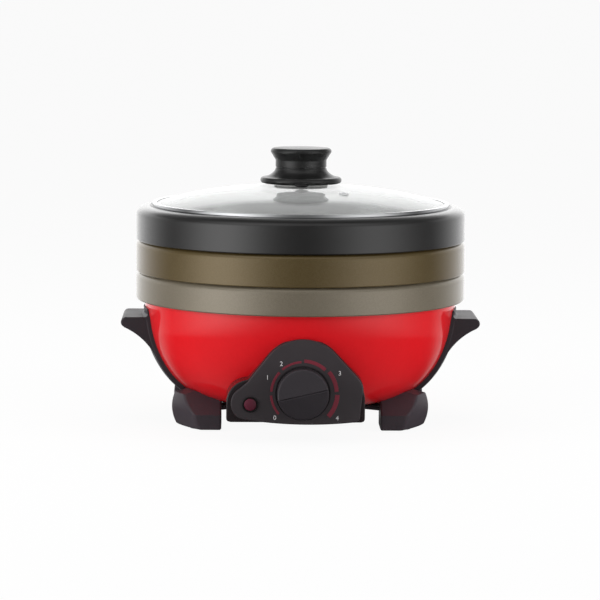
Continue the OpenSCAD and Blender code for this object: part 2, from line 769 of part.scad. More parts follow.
// Wiring
module terminal_block() {
    color(CERAMIC) difference() {
        translate([-block_w / 2, block_y, shell_z]) cube([block_w, block_d, block_h]);
        for (x = [-block_hole_x, block_hole_x])
            translate([x, block_y + block_d / 2, shell_z + block_h - block_hole_l])
            cylinder(r = block_hole_r, h = block_hole_l + past);
    }
}

module cord_gland() {
    lug_reach = gland_lug_x + screw_head_r + gland_lug_w;
    color(BLACK) difference() {
        union() {
            translate([-gland_w / 2, gland_inner_y - gland_wall, gland_z - gland_h / 2])
                cube([gland_w, gland_y - gland_inner_y + gland_wall, base_z - gland_z + gland_h / 2]);
            translate([-lug_reach, gland_lug_y - tab_w / 2, tab_z])
                cube([2 * lug_reach, tab_w, tab_t]);
        }
        translate([0, gland_inner_y, gland_z]) rotate([-90, 0, 0])
            cylinder(r = gland_bore_r, h = gland_bore_l + past);
        translate([0, gland_inner_y, gland_z]) cylinder(r = gland_bore_r, h = base_z - gland_z + past);
        for (x = [-gland_lug_x, gland_lug_x]) translate([x, gland_lug_y, 0]) tab_hole();
    }
}

module live_lead() { color("saddlebrown") lead(live_route); }

module switched_lead() { color("black") lead(switched_route); }

module neutral_lead() { color("steelblue") lead(neutral_route); }

module lamp_leads() {
    color("dimgray") {
        lead(lamp_switched_route, thin_lead_r);
        lead(lamp_neutral_route, thin_lead_r);
    }
}

module capillary_bulb() {
    color("peru") {
        lead(capillary_route, capillary_r);
        translate([bulb_x, bulb_y, bulb_z]) rotate([-90, 0, 0]) cylinder(r = bulb_r, h = bulb_l);
    }
}

// Control panel outline, from the dial's axis: an arch over the dial, a lobe for the lamp on
// its left, a bowed lower edge
arch_rise = 9.4;
arch_c = [0, arch_rise];
arch_r = 37;
arch_turn = 40;
arch_steps = 16;
hip_r = 16;
hip_x = 35.4;
hip_rise = 2;
hip_c = [hip_x, hip_rise];
hip_steps = 6;
lobe_r = 14.6;
lobe_out = 2;
lobe_rise = 0.6;
lobe_c = [-lamp_x - lobe_out, -lamp_drop + lobe_rise];
lobe_turns = [122, 236];
lobe_steps = 12;
waist_out = 0.4;
waist_rise = 3.8;
lobe_waist = lobe_c + [-waist_out, lobe_r + waist_rise];
chin = 27.1;
chin_x = 5;
chin_bow_r = 360;
chin_left = -51;
chin_right = 45.4;
chin_steps = 10;
jaw_r = 3.6;
jaw_turns = [-80, -8];
jaw_steps = 5;
function chin_z(x) = -chin + pow(x - chin_x, 2) / (2 * chin_bow_r);
panel_outline = concat(
    [for (i = [0:chin_steps])
        let (x = chin_left + (chin_right - chin_left) * i / chin_steps) [x, chin_z(x)]],
    arc([chin_right, chin_z(chin_right) + jaw_r], jaw_r, jaw_turns[0], jaw_turns[1], jaw_steps),
    arc(hip_c, hip_r, 0, arch_turn, hip_steps),
    arc(arch_c, arch_r, arch_turn, 180 - arch_turn, arch_steps),
    [lobe_waist],
    arc(lobe_c, lobe_r, lobe_turns[0], lobe_turns[1], lobe_steps));

module panel_plate(depth, shrink = 0) {
    linear_extrude(depth) offset(delta = -shrink) polygon(panel_outline);
}

module control_panel() {
    through = panel_t + 2 * past;
    color(BLACK) difference() {
        union() {
            toward_front(panel_back_y) translate([0, dial_z, 0]) panel_plate(panel_t - panel_bevel);
            toward_front(panel_y - panel_bevel) translate([0, dial_z, 0])
                panel_plate(panel_bevel, panel_bevel);
            panel_pillars();
        }
        toward_front(recess_y) translate([0, dial_z, 0])
            cylinder(r = dial_r + recess_gap, h = recess_depth + past);
        toward_front(panel_back_y - past) translate([0, dial_z, 0])
            cylinder(r = spindle_r + spindle_hole_gap, h = through);
        at_thermostat_screws(panel_back_y - past) cylinder(r = screw_r + hole_gap, h = panel_t);
        toward_front(panel_back_y - past) translate([-lamp_x, lamp_z, 0])
            cylinder(r = lamp_hole_r, h = through);
        panel_screw_holes();
    }
}

module at_thermostat_screws(y) {
    for (side = [-1, 1])
        toward_front(y) translate([side * thermostat_pitch / 2, dial_z, 0]) children();
}

// Pillars behind the panel stand on the shell, and take its screws
module panel_pillars() {
    difference() {
        for (x = [-pillar_x, pillar_x])
            toward_front(housing_back_y) translate([x, pillar_z, 0])
            cylinder(r = pillar_r, h = housing_depth);
        shell_form();
    }
}

panel_screw_y = sqrt(pow(shell_r(pillar_z - screw_head_r, shell_t), 2)
    - pow(pillar_x + screw_head_r, 2)) - 2 * fit_gap;
panel_screw_l = panel_back_y + panel_screw_bite - panel_screw_y;

module panel_screw_holes() {
    for (x = [-pillar_x, pillar_x])
        toward_front(panel_screw_y - past) translate([x, pillar_z, 0])
            cylinder(r = screw_r + hole_gap, h = panel_screw_l + past + fit_gap);
}

module panel_screws() {
    color(STEEL) for (x = [-pillar_x, pillar_x])
        toward_front(panel_screw_y) translate([x, pillar_z, 0])
            screw(screw_r, panel_screw_l, screw_head_r, screw_head_h);
}

// Outline of the control housing: it shows past the panel as a round shoulder on each side
module housing_outline(shrink = 0) {
    r = housing_corner_r;
    offset(delta = -shrink) union() {
        translate([0, dial_z]) offset(delta = housing_over) polygon(panel_outline);
        intersection() {
            union() {
                translate([housing_left_x + housing_lobe_r, dial_z + lobe_c[1]])
                    circle(r = housing_lobe_r);
                translate([housing_right_x - housing_cheek_r, dial_z - housing_cheek_drop])
                    circle(r = housing_cheek_r);
            }
            translate([housing_left_x, housing_z])
                square([housing_right_x - housing_left_x, dial_z]);
        }
        translate([housing_left_x + r, housing_z + r]) offset(r = r)
            square([housing_right_x - housing_left_x - 2 * r, housing_side_h - 2 * r]);
    }
}

module control_housing() {
    rear = housing_back_y + housing_wall / 2;
    color(BLACK) difference() {
        union() {
            difference() {
                toward_front(housing_back_y) linear_extrude(housing_depth - fit_gap) housing_outline();
                toward_front(housing_back_y + housing_wall)
                    linear_extrude(housing_depth - 2 * housing_wall) housing_outline(housing_wall);
                toward_front(panel_back_y - housing_wall - past) translate([0, dial_z, 0])
                    panel_plate(housing_wall + 2 * past, housing_lip);
            }
            translate([-tab_w / 2, -rear, tab_z]) cube([tab_w, rear - tab_ring_r + tab_w / 2, tab_t]);
        }
        shell_form();
        translate([0, 0, base_z - fit_gap])
            cylinder(r = base_r + fit_gap, h = shell_z - base_z + 2 * fit_gap);
        translate([0, -tab_ring_r, 0]) tab_hole();
    }
}

module thermostat_body() {
    seat = spindle_seat + past;
    bite = thermostat_screw_bite + fit_gap;
    color(CERAMIC) difference() {
        translate([-thermostat_w / 2, -panel_back_y, thermostat_foot_z])
            cube([thermostat_w, thermostat_d, thermostat_h]);
        toward_front(panel_back_y - seat) translate([0, dial_z, 0])
            cylinder(r = spindle_r + spindle_gap, h = seat + past);
        at_thermostat_screws(panel_back_y - bite) cylinder(r = screw_r + fit_gap, h = bite + past);
    }
}

module thermostat_screws() {
    color(STEEL) at_thermostat_screws(recess_y) mirror([0, 0, 1])
        screw(screw_r, recess_y - panel_back_y + thermostat_screw_bite, thermostat_head_r,
            thermostat_head_h);
}

module thermostat_spindle() {
    color(STEEL) toward_front(panel_back_y - spindle_seat) translate([0, dial_z, 0])
        cylinder(r = spindle_r, h = spindle_seat + dial_back_y + dial_bore_l - panel_back_y - fit_gap);
}

// Dial: a round body whose front is two slopes that meet at a ridge
module dial() {
    edge = panel_y + dial_edge_h - dial_back_y;
    ridge = dial_front - dial_back_y;
    color(BLACK) toward_front(dial_back_y) translate([0, dial_z, 0]) rotate(dial_tilt) difference() {
        intersection() {
            cylinder(r = dial_r, h = ridge);
            rotate([90, 0, 90]) translate([0, 0, -dial_r]) linear_extrude(2 * dial_r)
                polygon([[-dial_r, 0], [dial_r, 0], [dial_r, edge], [dial_crest, ridge],
                    [-dial_crest, ridge], [-dial_r, edge]]);
        }
        difference() {
            translate([0, 0, -past]) cylinder(r = dial_r - dial_wall, h = dial_hollow + past);
            translate([0, 0, -2 * past]) cylinder(r = dial_hub_r, h = dial_hollow + 3 * past);
        }
        translate([0, 0, -past]) cylinder(r = spindle_r + dial_bore_gap, h = dial_bore_l + past);
    }
}

module lamp_lens() {
    shank_r = lamp_hole_r - fit_gap;
    top = panel_t + lamp_flange_t;
    color(RED) toward_front(panel_back_y) translate([-lamp_x, lamp_z, 0]) spun(concat(
        [[0, 0], [shank_r, 0], [shank_r, panel_t], [lamp_flange_r, panel_t],
         [lamp_flange_r, top - lamp_flange_edge], [lamp_r, top]],
        oval([0, top], lamp_crown_r, lamp_crown, 0, 90)));
}

module lamp_body() {
    color(CERAMIC) toward_front(panel_back_y - lamp_body_l) translate([-lamp_x, lamp_z, 0])
        cylinder(r = lamp_body_r, h = lamp_body_l);
}

// Handles: a straight ear that grows out of a strap bent around the shell
ear_outline = let (
        tip_r = handle_tip_t / 2,
        tip_c = [handle_reach - tip_r, handle_top_z - tip_r],
        under = arc(handle_under_c, handle_under_r, handle_under_turns[0], handle_under_turns[1]),
        root_x = under[0][0] - ear_root)
    concat([[root_x, under[0][1]]], under, arc(tip_c, tip_r, handle_under_turns[1] - 180, 90),
        [[root_x, handle_top_z]]);
strap_section = concat(
    shell_corner(-strap_t, strap_end_turn),
    [[wall_r(handle_top_z - handle_root, -strap_t), handle_top_z - handle_root],
     [wall_r(handle_top_z, -strap_t) + handle_root, handle_top_z],
     [wall_r(handle_top_z + handle_root, -strap_t), handle_top_z + handle_root],
     [wall_r(strap_top_z - strap_edge, -strap_t), strap_top_z - strap_edge],
     [wall_r(strap_top_z, strap_edge - strap_t), strap_top_z], [shell_floor_r, strap_top_z]]);

module handle() {
    color(BLACK) difference() {
        union() {
            rotate([90, 0, 0]) linear_extrude(handle_w, center = true) polygon(ear_outline);
            intersection() {
                spun(strap_section);
                translate([0, -handle_w / 2, 0]) cube([handle_reach, handle_w, strap_top_z]);
            }
        }
        shell_form();
        handle_screw_holes();
    }
}

module right_handle() { handle(); }

module left_handle() { mirror([1, 0, 0]) handle(); }

// A handle's screws are driven from inside the shell
handle_screw_x = sqrt(pow(shell_r(handle_screw_z - screw_head_r, shell_t), 2)
    - pow(handle_screw_y + screw_head_r, 2)) - fit_gap;
handle_screw_l = wall_r(handle_screw_z) - handle_screw_x + handle_screw_bite;

module at_handle_screws() {
    for (side = [0, 1], y = [-handle_screw_y, handle_screw_y])
        mirror([side, 0, 0]) translate([handle_screw_x, y, handle_screw_z]) rotate([0, 90, 0])
        children();
}

module handle_screw_holes() {
    at_handle_screws() cylinder(r = screw_r + hole_gap, h = handle_screw_l + fit_gap);
}

module handle_screws() {
    color(STEEL) at_handle_screws() screw(screw_r, handle_screw_l, screw_head_r, screw_head_h);
}

// Legs: sectors of one barrel-shaped ring, cut to the shell above them
function leg_r(z) = leg_belly_r - leg_draw_in * pow((z - leg_belly_z) / leg_belly_z, 2);
leg_section = concat(
    [[leg_inner_x, leg_z]],
    [for (i = [0:leg_steps]) let (z = leg_z + (leg_top_z - leg_z) * i / leg_steps) [leg_r(z), z]],
    [[leg_r(leg_top_z) - leg_chamfer_w, leg_top_z + leg_chamfer_h],
     [leg_inner_x, leg_top_z + leg_chamfer_h]]);

// What a leg keeps of the ring: upright up to its knee, leaning back under the shell above it
module leg_block() {
    top = leg_top_z + leg_chamfer_h;
    translate([leg_inner_x, 0, 0]) rotate([90, 0, 90]) linear_extrude(leg_belly_r) polygon([
        [leg_front_y - leg_depth, 0], [leg_front_y, 0], [leg_front_y, leg_knee_z],
        [leg_front_y - (top - leg_knee_z) * tan(leg_lean), top], [leg_front_y - leg_depth, top]]);
}

// One leg, for the quarter where x and y are positive
module leg() {
    color(BLACK) difference() {
        union() {
            intersection() {
                spun(leg_section);
                leg_block();
            }
            rotate(leg_turn) translate([tab_ring_r - tab_w / 2, -tab_w / 2, tab_z])
                cube([2 * tab_w, tab_w, tab_t]);
        }
        shell_form();
        translate([0, 0, base_z - fit_gap / 2]) cylinder(r = base_r + fit_gap, h = shell_z - base_z);
        rotate(leg_turn) translate([tab_ring_r, 0, 0]) tab_hole();
        translate([pad_x, pad_y, 0]) cylinder(r = pad_r + fit_gap, h = pad_t + fit_gap / 2);
    }
}

module rear_right_leg() { leg(); }

module rear_left_leg() { mirror([1, 0, 0]) leg(); }

module front_right_leg() { mirror([0, 1, 0]) leg(); }

module front_left_leg() { mirror([1, 0, 0]) mirror([0, 1, 0]) leg(); }

module foot_pads() {
    color(RUBBER) for (x = [-pad_x, pad_x], y = [-pad_y, pad_y])
        translate([x, y, 0]) cylinder(r = pad_r, h = pad_t);
}

// Sets a piece from the pot axis to the middle of the footprint
module set() { translate([0, axis_y, 0]) children(); }

set() glass_dome();
set() lid_rim();
set() knob_grip();
set() knob_base();
set() knob_gasket();
set() knob_washer();
set() knob_screw();
set() vent_eyelet();
set() black_pot();
set() bronze_pot();
set() grey_pot();
set() outer_shell();
set() inner_liner();
set() hot_plate();
set() heating_element();
set() element_clips();
set() clip_screws();
set() plate_posts();
set() post_screws();
set() base_plate();
set() base_screws();
set() base_nuts();
set() terminal_block();
set() cord_gland();
set() control_housing();
set() control_panel();
set() panel_screws();
set() thermostat_body();
set() thermostat_screws();
set() capillary_bulb();
set() thermostat_spindle();
set() dial();
set() lamp_lens();
set() lamp_body();
set() left_handle();
set() right_handle();
set() handle_screws();
set() front_left_leg();
set() front_right_leg();
set() rear_left_leg();
set() rear_right_leg();
set() foot_pads();
set() live_lead();
set() switched_lead();
set() neutral_lead();
set() lamp_leads();
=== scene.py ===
"""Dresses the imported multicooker: smooth meshes, procedural finishes, floor, light and camera.

Sizes are millimetres from the pot axis unless a name says otherwise; meshes are written in metres.
"""
import json
import logging
import math
from collections.abc import Callable, Iterable, Sequence
from dataclasses import dataclass
from enum import Enum

import bmesh
import bpy
from mathutils import Matrix, Vector


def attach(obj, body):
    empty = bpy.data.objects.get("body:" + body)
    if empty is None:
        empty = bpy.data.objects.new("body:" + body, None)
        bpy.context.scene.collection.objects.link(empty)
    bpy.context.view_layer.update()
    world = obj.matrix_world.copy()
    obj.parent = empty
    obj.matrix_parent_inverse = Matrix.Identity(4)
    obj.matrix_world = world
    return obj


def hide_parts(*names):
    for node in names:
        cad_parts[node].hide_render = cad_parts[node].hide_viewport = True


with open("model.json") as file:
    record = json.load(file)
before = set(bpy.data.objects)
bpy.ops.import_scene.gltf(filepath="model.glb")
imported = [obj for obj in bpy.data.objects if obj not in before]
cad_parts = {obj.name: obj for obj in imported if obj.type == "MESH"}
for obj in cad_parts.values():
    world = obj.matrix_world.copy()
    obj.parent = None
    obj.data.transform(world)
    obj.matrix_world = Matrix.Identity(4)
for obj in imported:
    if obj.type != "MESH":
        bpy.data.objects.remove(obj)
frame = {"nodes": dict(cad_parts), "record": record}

LOG = logging.getLogger("multicooker")
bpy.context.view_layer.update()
MM = 0.001
AXIS_Y = 3.75
TURNS = 180
# points closer than this are one
WELD = 1e-5
# clearance between a piece and the one it lies against
FIT = 0.1
QUARTER = math.pi / 2
BASE = "cooker_base"
WHITE = (1.0, 1.0, 1.0, 1.0)

Point = tuple[float, float]
Spot = tuple[float, float, float]
Piece = bpy.types.Object
Tree = bpy.types.NodeTree
Socket = bpy.types.NodeSocket


# ---- outlines

def spaced(start: float, end: float, steps: int) -> list[float]:
    """Even steps from start to end, both included."""
    return [start + (end - start) * k / steps for k in range(steps + 1)]


def oval(centre: Point, rx: float, rz: float, start: float, end: float, steps: int) -> list[Point]:
    """Points along part of an ellipse.

    Args:
        centre: middle of the ellipse.
        rx: half width.
        rz: half height.
        start: first angle in degrees, counter-clockwise from +x.
        end: last angle in degrees.
        steps: number of chords.

    Returns:
        The points in order, both ends included.
    """
    turns = [math.radians(a) for a in spaced(start, end, steps)]
    return [(centre[0] + rx * math.cos(a), centre[1] + rz * math.sin(a)) for a in turns]


def arc(centre: Point, r: float, start: float, end: float, steps: int) -> list[Point]:
    """Points along part of a circle, as oval gives them."""
    return oval(centre, r, r, start, end, steps)


def counter_clockwise(outline: Sequence[Point]) -> list[Point]:
    """The outline turned so that it runs counter-clockwise."""
    area = sum(a[0] * b[1] - b[0] * a[1] for a, b in zip(outline, [*outline[1:], outline[0]]))
    return list(outline) if area > 0 else list(outline)[::-1]


def inset(outline: Sequence[Point], depth: float) -> list[Point]:
    """Moves a counter-clockwise outline inwards along its corners' mean normals.

    Args:
        outline: the closed outline.
        depth: how far each side moves.

    Returns:
        The moved points, one for each given.
    """
    # keeps a very sharp corner from shooting out
    sharpest = 0.5
    moved = []
    for i, here in enumerate(outline):
        before = Vector(here) - Vector(outline[i - 1])
        after = Vector(outline[(i + 1) % len(outline)]) - Vector(here)
        n0 = Vector((-before.y, before.x)).normalized()
        n1 = Vector((-after.y, after.x)).normalized()
        mean = (n0 + n1) / max(sharpest, 1 + n0.dot(n1))
        moved.append((here[0] + depth * mean.x, here[1] + depth * mean.y))
    return moved


def rounded(outline: Sequence[Point], radii: dict[int, float], steps: int = 5) -> list[Point]:
    """Replaces some corners of an outline by soft bends.

    Args:
        outline: the closed outline.
        radii: reach of the bend along each side, by the corner's place in the outline.
        steps: chords in a bend.

    Returns:
        The outline with those corners bent.
    """
    bent = []
    for i, here in enumerate(outline):
        if i not in radii:
            bent.append(tuple(here))
            continue
        corner = Vector(here)
        start = corner + (Vector(outline[i - 1]) - corner).normalized() * radii[i]
        end = corner + (Vector(outline[(i + 1) % len(outline)]) - corner).normalized() * radii[i]
        for t in spaced(0, 1, steps):
            bent.append(tuple(start * (1 - t) ** 2 + corner * (2 * t * (1 - t)) + end * t ** 2))
    return bent


def spread(outline: Sequence[Point], centre: Point, angle: float) -> float:
    """How far a closed outline reaches from a centre along one direction.

    Args:
        outline: the closed outline.
        centre: where the direction starts.
        angle: the direction in radians, counter-clockwise from +x.

    Returns:
        The distance, 0 where the outline isn't met.
    """
    tiny = 1e-9
    way = Vector((math.cos(angle), math.sin(angle)))
    far = 0.0
    for i, a in enumerate(outline):
        b = outline[(i + 1) % len(outline)]
        p, q = Vector(a) - Vector(centre), Vector(b) - Vector(a)
        cross = way.x * q.y - way.y * q.x
        if abs(cross) < tiny:
            continue
        along = (p.x * way.y - p.y * way.x) / cross
        if -tiny <= along <= 1 + tiny:
            far = max(far, (p.x * q.y - p.y * q.x) / cross)
    return far


# ---- meshes

class Axis(Enum):
    """The way a turned piece's axis points."""

    UP = "up"
    FRONT = "front"


def set_down(name: str, bm: bmesh.types.BMesh) -> Piece:
    """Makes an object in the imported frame.

    Args:
        name: the piece's name.
        bm: its mesh in millimetres about the pot axis.

    Returns:
        The object.
    """
    bmesh.ops.remove_doubles(bm, verts=bm.verts, dist=WELD)
    bmesh.ops.recalc_face_normals(bm, faces=bm.faces)
    bm.transform(Matrix.Scale(MM, 4) @ Matrix.Translation((0, AXIS_Y, 0)))
    mesh = bpy.data.meshes.new(name)
    bm.to_mesh(mesh)
    bm.free()
    made = bpy.data.objects.new(name, mesh)
    bpy.context.scene.collection.objects.link(made)
    return made


class Carving(Enum):
    """What one piece does to another, by Blender's name of the boolean."""

    CUT = "DIFFERENCE"
    JOIN = "UNION"


def carve(piece: Piece, other: Piece, carving: Carving = Carving.CUT) -> None:
    """Cuts a piece with another, or joins the other to it, and removes the other.

    Args:
        piece: the object to change.
        other: the object that cuts or joins it.
        carving: which of the two.
    """
    cut = piece.modifiers.new("carve", "BOOLEAN")
    cut.operation, cut.solver, cut.object = carving.value, "EXACT", other
    seen = piece.evaluated_get(bpy.context.evaluated_depsgraph_get())
    before, piece.data = piece.data, bpy.data.meshes.new_from_object(seen)
    piece.modifiers.clear()
    bpy.data.meshes.remove(before)
    bpy.data.objects.remove(other)


def lathe(name: str, profile: Sequence[Point], axis: Axis = Axis.UP, place: Spot = (0, 0, 0),
          turns: int = TURNS) -> Piece:
    """Turns a closed profile about an axis.

    Args:
        name: the piece's name.
        profile: radius and height of each point.
        axis: up, or towards the front.
        place: where the axis starts.
        turns: number of steps round.

    Returns:
        The turned object.
    """
    bm = bmesh.new()
    rings = []
    for r, h in profile:
        ring = []
        for k in range(1 if r < WELD else turns):
            a = 2 * math.pi * k / turns
            u, v = r * math.cos(a), r * math.sin(a)
            ring.append(bm.verts.new(Vector((u, v, h) if axis is Axis.UP else (u, -h, v)) + Vector(place)))
        rings.append(ring)
    for a, b in zip(rings, rings[1:] + rings[:1]):
        if len(a) == 1 and len(b) == 1:
            continue
        for k in range(turns):
            n = k + 1
            corners = [a[k % len(a)], a[n % len(a)], b[n % len(b)], b[k % len(b)]]
            bm.faces.new(list(dict.fromkeys(corners)))
    return set_down(name, bm)


def loft(name: str, rings: Sequence[Sequence[Spot]]) -> Piece:
    """Skins closed rings of equal count, one after another, and closes both ends.

    Args:
        name: the piece's name.
        rings: the rings' points.

    Returns:
        The skinned object.
    """
    bm = bmesh.new()
    loops = [[bm.verts.new(p) for p in ring] for ring in rings]
    for a, b in zip(loops, loops[1:]):
        for k in range(len(a)):
            n = (k + 1) % len(a)
            bm.faces.new([a[k], a[n], b[n], b[k]])
    ends = [bm.faces.new(loops[0]), bm.faces.new(loops[-1])]
    bm.normal_update()
    bmesh.ops.triangulate(bm, faces=ends, ngon_method="EAR_CLIP")
    return set_down(name, bm)


def plate(name: str, outline: Sequence[Point], front: float, back: float, edge: float,
          back_edge: float = 0.0, steps: int = 5) -> Piece:
    """An upright plate with a rounded edge.

    Args:
        name: the piece's name.
        outline: x and z of the closed outline.
        front: how far its front face stands before the pot axis.
        back: how far its back face stands before the pot axis.
        edge: radius of the front edge.
        back_edge: radius of the back edge, 0 for a sharp one.
        steps: chords in an edge.

    Returns:
        The plate.
    """
    line, bend = counter_clockwise(outline), spaced(0, QUARTER, steps)
    layers = [(edge * (1 - math.sin(a)), front - edge * (1 - math.cos(a))) for a in bend]
    if back_edge:
        layers += [(back_edge * (1 - math.cos(a)), back + back_edge * (1 - math.sin(a))) for a in bend]
    else:
        layers.append((0.0, back))
    return loft(name, [[(x, -y, z) for x, z in inset(line, depth)] for depth, y in layers])


# ---- finishes

def linear(colour: str) -> tuple[float, float, float, float]:
    """Turns a colour to linear light.

    Args:
        colour: its sRGB hex value.

    Returns:
        Linear red, green and blue, and full cover.
    """
    parts = [int(colour[i:i + 2], 16) / 255 for i in (1, 3, 5)]
    red, green, blue = (c / 12.92 if c <= 0.04045 else ((c + 0.055) / 1.055) ** 2.4 for c in parts)
    return (red, green, blue, 1.0)


def put(tree: Tree, kind: str, values: dict[str | int, object] | Sequence[object] = (),
        **settings: object) -> bpy.types.bpy_prop_collection:
    """Adds a shader node.

    Args:
        tree: the tree it goes in.
        kind: Blender's name of the node, after ShaderNode.
        values: a constant or a socket to link from, by input or in the inputs' order.
        settings: the node's own options.

    Returns:
        The node's outputs.
    """
    node = tree.nodes.new(f"ShaderNode{kind}")
    for key, value in settings.items():
        setattr(node, key, value)
    for key, value in values.items() if isinstance(values, dict) else enumerate(values):
        if isinstance(value, bpy.types.NodeSocket):
            tree.links.new(value, node.inputs[key])
        else:
            node.inputs[key].default_value = value
    return node.outputs


def emptied(owner: bpy.types.Material | bpy.types.World) -> Tree:
    """Clears the nodes of a material or a world.

    Args:
        owner: the material or world.

    Returns:
        Its empty tree.
    """
    owner.use_nodes = True
    owner.node_tree.nodes.clear()
    return owner.node_tree


class Surface(Enum):
    """How a surface was made, which sets the pattern drawn on it."""

    MOULDED = "pebbled by a spark-eroded mould"
    FLAKED = "sprayed with metal flake"
    SPRAYED = "sprayed and flowed out"
    TURNED = "cut in rings by a lathe tool"
    DRAWN = "streaked by a drawing press"


@dataclass(frozen=True)
class Substance:
    """A procedural material that is made once, under its own name."""

    name: str

    def shader(self, tree: Tree) -> Socket:
        """Draws the material; each kind has its own way."""
        raise NotImplementedError

    def material(self) -> bpy.types.Material:
        """Finds the material, or makes it.

        Returns:
            The material under this name.
        """
        made = bpy.data.materials.get(self.name)
        if made is None:
            made = bpy.data.materials.new(self.name)
            tree = emptied(made)
            put(tree, "OutputMaterial", (self.shader(tree),))
        return made


@dataclass(frozen=True)
class Finish(Substance):
    """An opaque material with a pattern of its own in tone, gloss and relief."""

    colour: str
    tone: str
    surface: Surface
    roughness: float
    grain_mm: float
    relief_mm: float
    gloss_spread: float = 0.08
    metallic: float = 0.0
    coat: float = 0.0
    coat_roughness: float = 0.1
    cloud_mm: float = 40.0
    ior: float = 1.5
    # how a drawing press stretches the pattern, and the span of grain and cloud that the tones cover
    stretch: Spot = (1.0, 1.0, 0.04)
    mix_span: Point = (0.6, 1.4)

    def pattern(self, tree: Tree) -> Socket:
        """Draws the surface's own grain.

        Args:
            tree: the material's nodes.

        Returns:
            A value from 0 to 1.
        """
        spot = put(tree, "TexCoord")["Object"]
        scale = 1 / (self.grain_mm * MM)
        if self.surface is Surface.FLAKED:
            cells = put(tree, "TexVoronoi", {"Vector": spot, "Scale": scale})
            return put(tree, "SeparateColor", (cells["Color"],))[0]
        if self.surface is Surface.TURNED:
            out = put(tree, "VectorMath", (spot, (0, AXIS_Y * MM, 0)), operation="SUBTRACT")[0]
            flat = put(tree, "VectorMath", (out, (1, 1, 0)), operation="MULTIPLY")[0]
            reach = put(tree, "VectorMath", (flat,), operation="LENGTH")["Value"]
            spot = put(tree, "CombineXYZ", {0: reach, 2: put(tree, "SeparateXYZ", (spot,))[2]})[0]
        if self.surface is Surface.DRAWN:
            spot = put(tree, "VectorMath", (spot, self.stretch), operation="MULTIPLY")[0]
        detail = 1.0 if self.surface is Surface.SPRAYED else 3.0
        return put(tree, "TexNoise", {"Vector": spot, "Scale": scale, "Detail": detail})[0]

    def shader(self, tree: Tree) -> Socket:
        """Draws the finish.

        Args:
            tree: the material's nodes.

        Returns:
            Its shader.
        """
        grain, spot = self.pattern(tree), put(tree, "TexCoord")["Object"]
        cloud = put(tree, "TexNoise", {"Vector": spot, "Scale": 1 / (self.cloud_mm * MM), "Detail": 2.0})[0]
        both = put(tree, "Math", (grain, cloud), operation="ADD")[0]
        blend = put(tree, "MapRange", (both, *self.mix_span))[0]
        tint = put(tree, "Mix", {0: blend, 6: linear(self.colour), 7: linear(self.tone)},
                   data_type="RGBA")[2]
        least, most = max(0.02, self.roughness - self.gloss_spread), self.roughness + self.gloss_spread
        gloss = put(tree, "MapRange", (both, *self.mix_span, least, most))[0]
        relief = put(tree, "Bump", {"Height": grain, "Distance": self.relief_mm * MM, "Strength": 1.0})[0]
        return put(tree, "BsdfPrincipled", {
            "Base Color": tint, "Roughness": gloss, "Normal": relief, "Metallic": self.metallic,
            "IOR": self.ior, "Coat Weight": self.coat, "Coat Roughness": self.coat_roughness})[0]


@dataclass(frozen=True)
class ClearGlass(Substance):
    """Pressed, tempered soda-lime glass: clear, faintly green, barely wavy, with a bloom at a slant."""

    name: str = "tempered_soda_lime_glass"
    colour: str = "#f6faf8"
    ior: float = 1.52
    wave_mm: float = 22.0
    relief_mm: float = 0.008
    film: Point = (0.03, 0.06)
    bloom: str = "#f4f4f4"
    bloom_share: Point = (0.3162, 0.3638)
    bloom_power: float = 1.5

    def shader(self, tree: Tree) -> Socket:
        """Draws the glass.

        Args:
            tree: the material's nodes.

        Returns:
            Its shader.
        """
        spot = put(tree, "TexCoord")["Object"]
        wave = put(tree, "TexNoise", {"Vector": spot, "Scale": 1 / (self.wave_mm * MM), "Detail": 1.0})[0]
        film = put(tree, "MapRange", (wave, 0.0, 1.0, *self.film))[0]
        relief = put(tree, "Bump", {"Height": wave, "Distance": self.relief_mm * MM, "Strength": 1.0})[0]
        clear = put(tree, "BsdfPrincipled", {
            "Base Color": linear(self.colour), "Roughness": film, "Normal": relief,
            "IOR": self.ior, "Transmission Weight": 1.0})[0]
        haze = put(tree, "BsdfDiffuse", {"Color": linear(self.bloom), "Normal": relief})[0]
        slant = put(tree, "LayerWeight", {"Blend": 0.5})["Facing"]
        steep = put(tree, "Math", (slant, self.bloom_power), operation="POWER")[0]
        thick = put(tree, "MapRange", (wave, 0.0, 1.0, *self.bloom_share))[0]
        share = put(tree, "Math", (steep, thick), operation="MULTIPLY")[0]
        return put(tree, "MixShader", (share, clear, haze))[0]


# Sprayed and stoved lacquer on steel: deep even red under a hard gloss, with a slight orange peel
RED_LACQUER = Finish("stoved_red_lacquer", "#d8121b", "#dd151e", Surface.SPRAYED, 0.4, 3.0, 0.003,
                     gloss_spread=0.03, coat=1.0, coat_roughness=0.09, ior=1.12)
# Sprayed non-stick on pressed aluminium: near-black satin, a faint sparkle of flake
BLACK_COAT = Finish("satin_black_nonstick", "#100f0f", "#141313", Surface.FLAKED, 0.36, 0.7, 0.0008,
                    gloss_spread=0.04, coat=1.0, coat_roughness=0.2)
# Metallic bronze non-stick, satin; its flake is drawn about three times too coarse, to show
BRONZE_COAT = Finish("satin_bronze_nonstick", "#63522c", "#6a5934", Surface.FLAKED, 0.38, 0.7, 0.0008,
                     gloss_spread=0.04, metallic=0.6, coat=1.0, coat_roughness=0.2)
# Metallic champagne-grey non-stick, satin, with the same coarse-drawn flake
CHAMPAGNE_COAT = Finish("satin_champagne_nonstick", "#7f7664", "#867d6c", Surface.FLAKED, 0.4, 0.7, 0.0008,
                        gloss_spread=0.04, metallic=0.5, coat=1.0, coat_roughness=0.2)
# Compression-moulded phenolic of the legs: charcoal, satin, with a fine pebble from the mould
PHENOLIC = Finish("moulded_phenolic", "#383237", "#433c42", Surface.MOULDED, 0.44, 0.9, 0.01, ior=1.48)
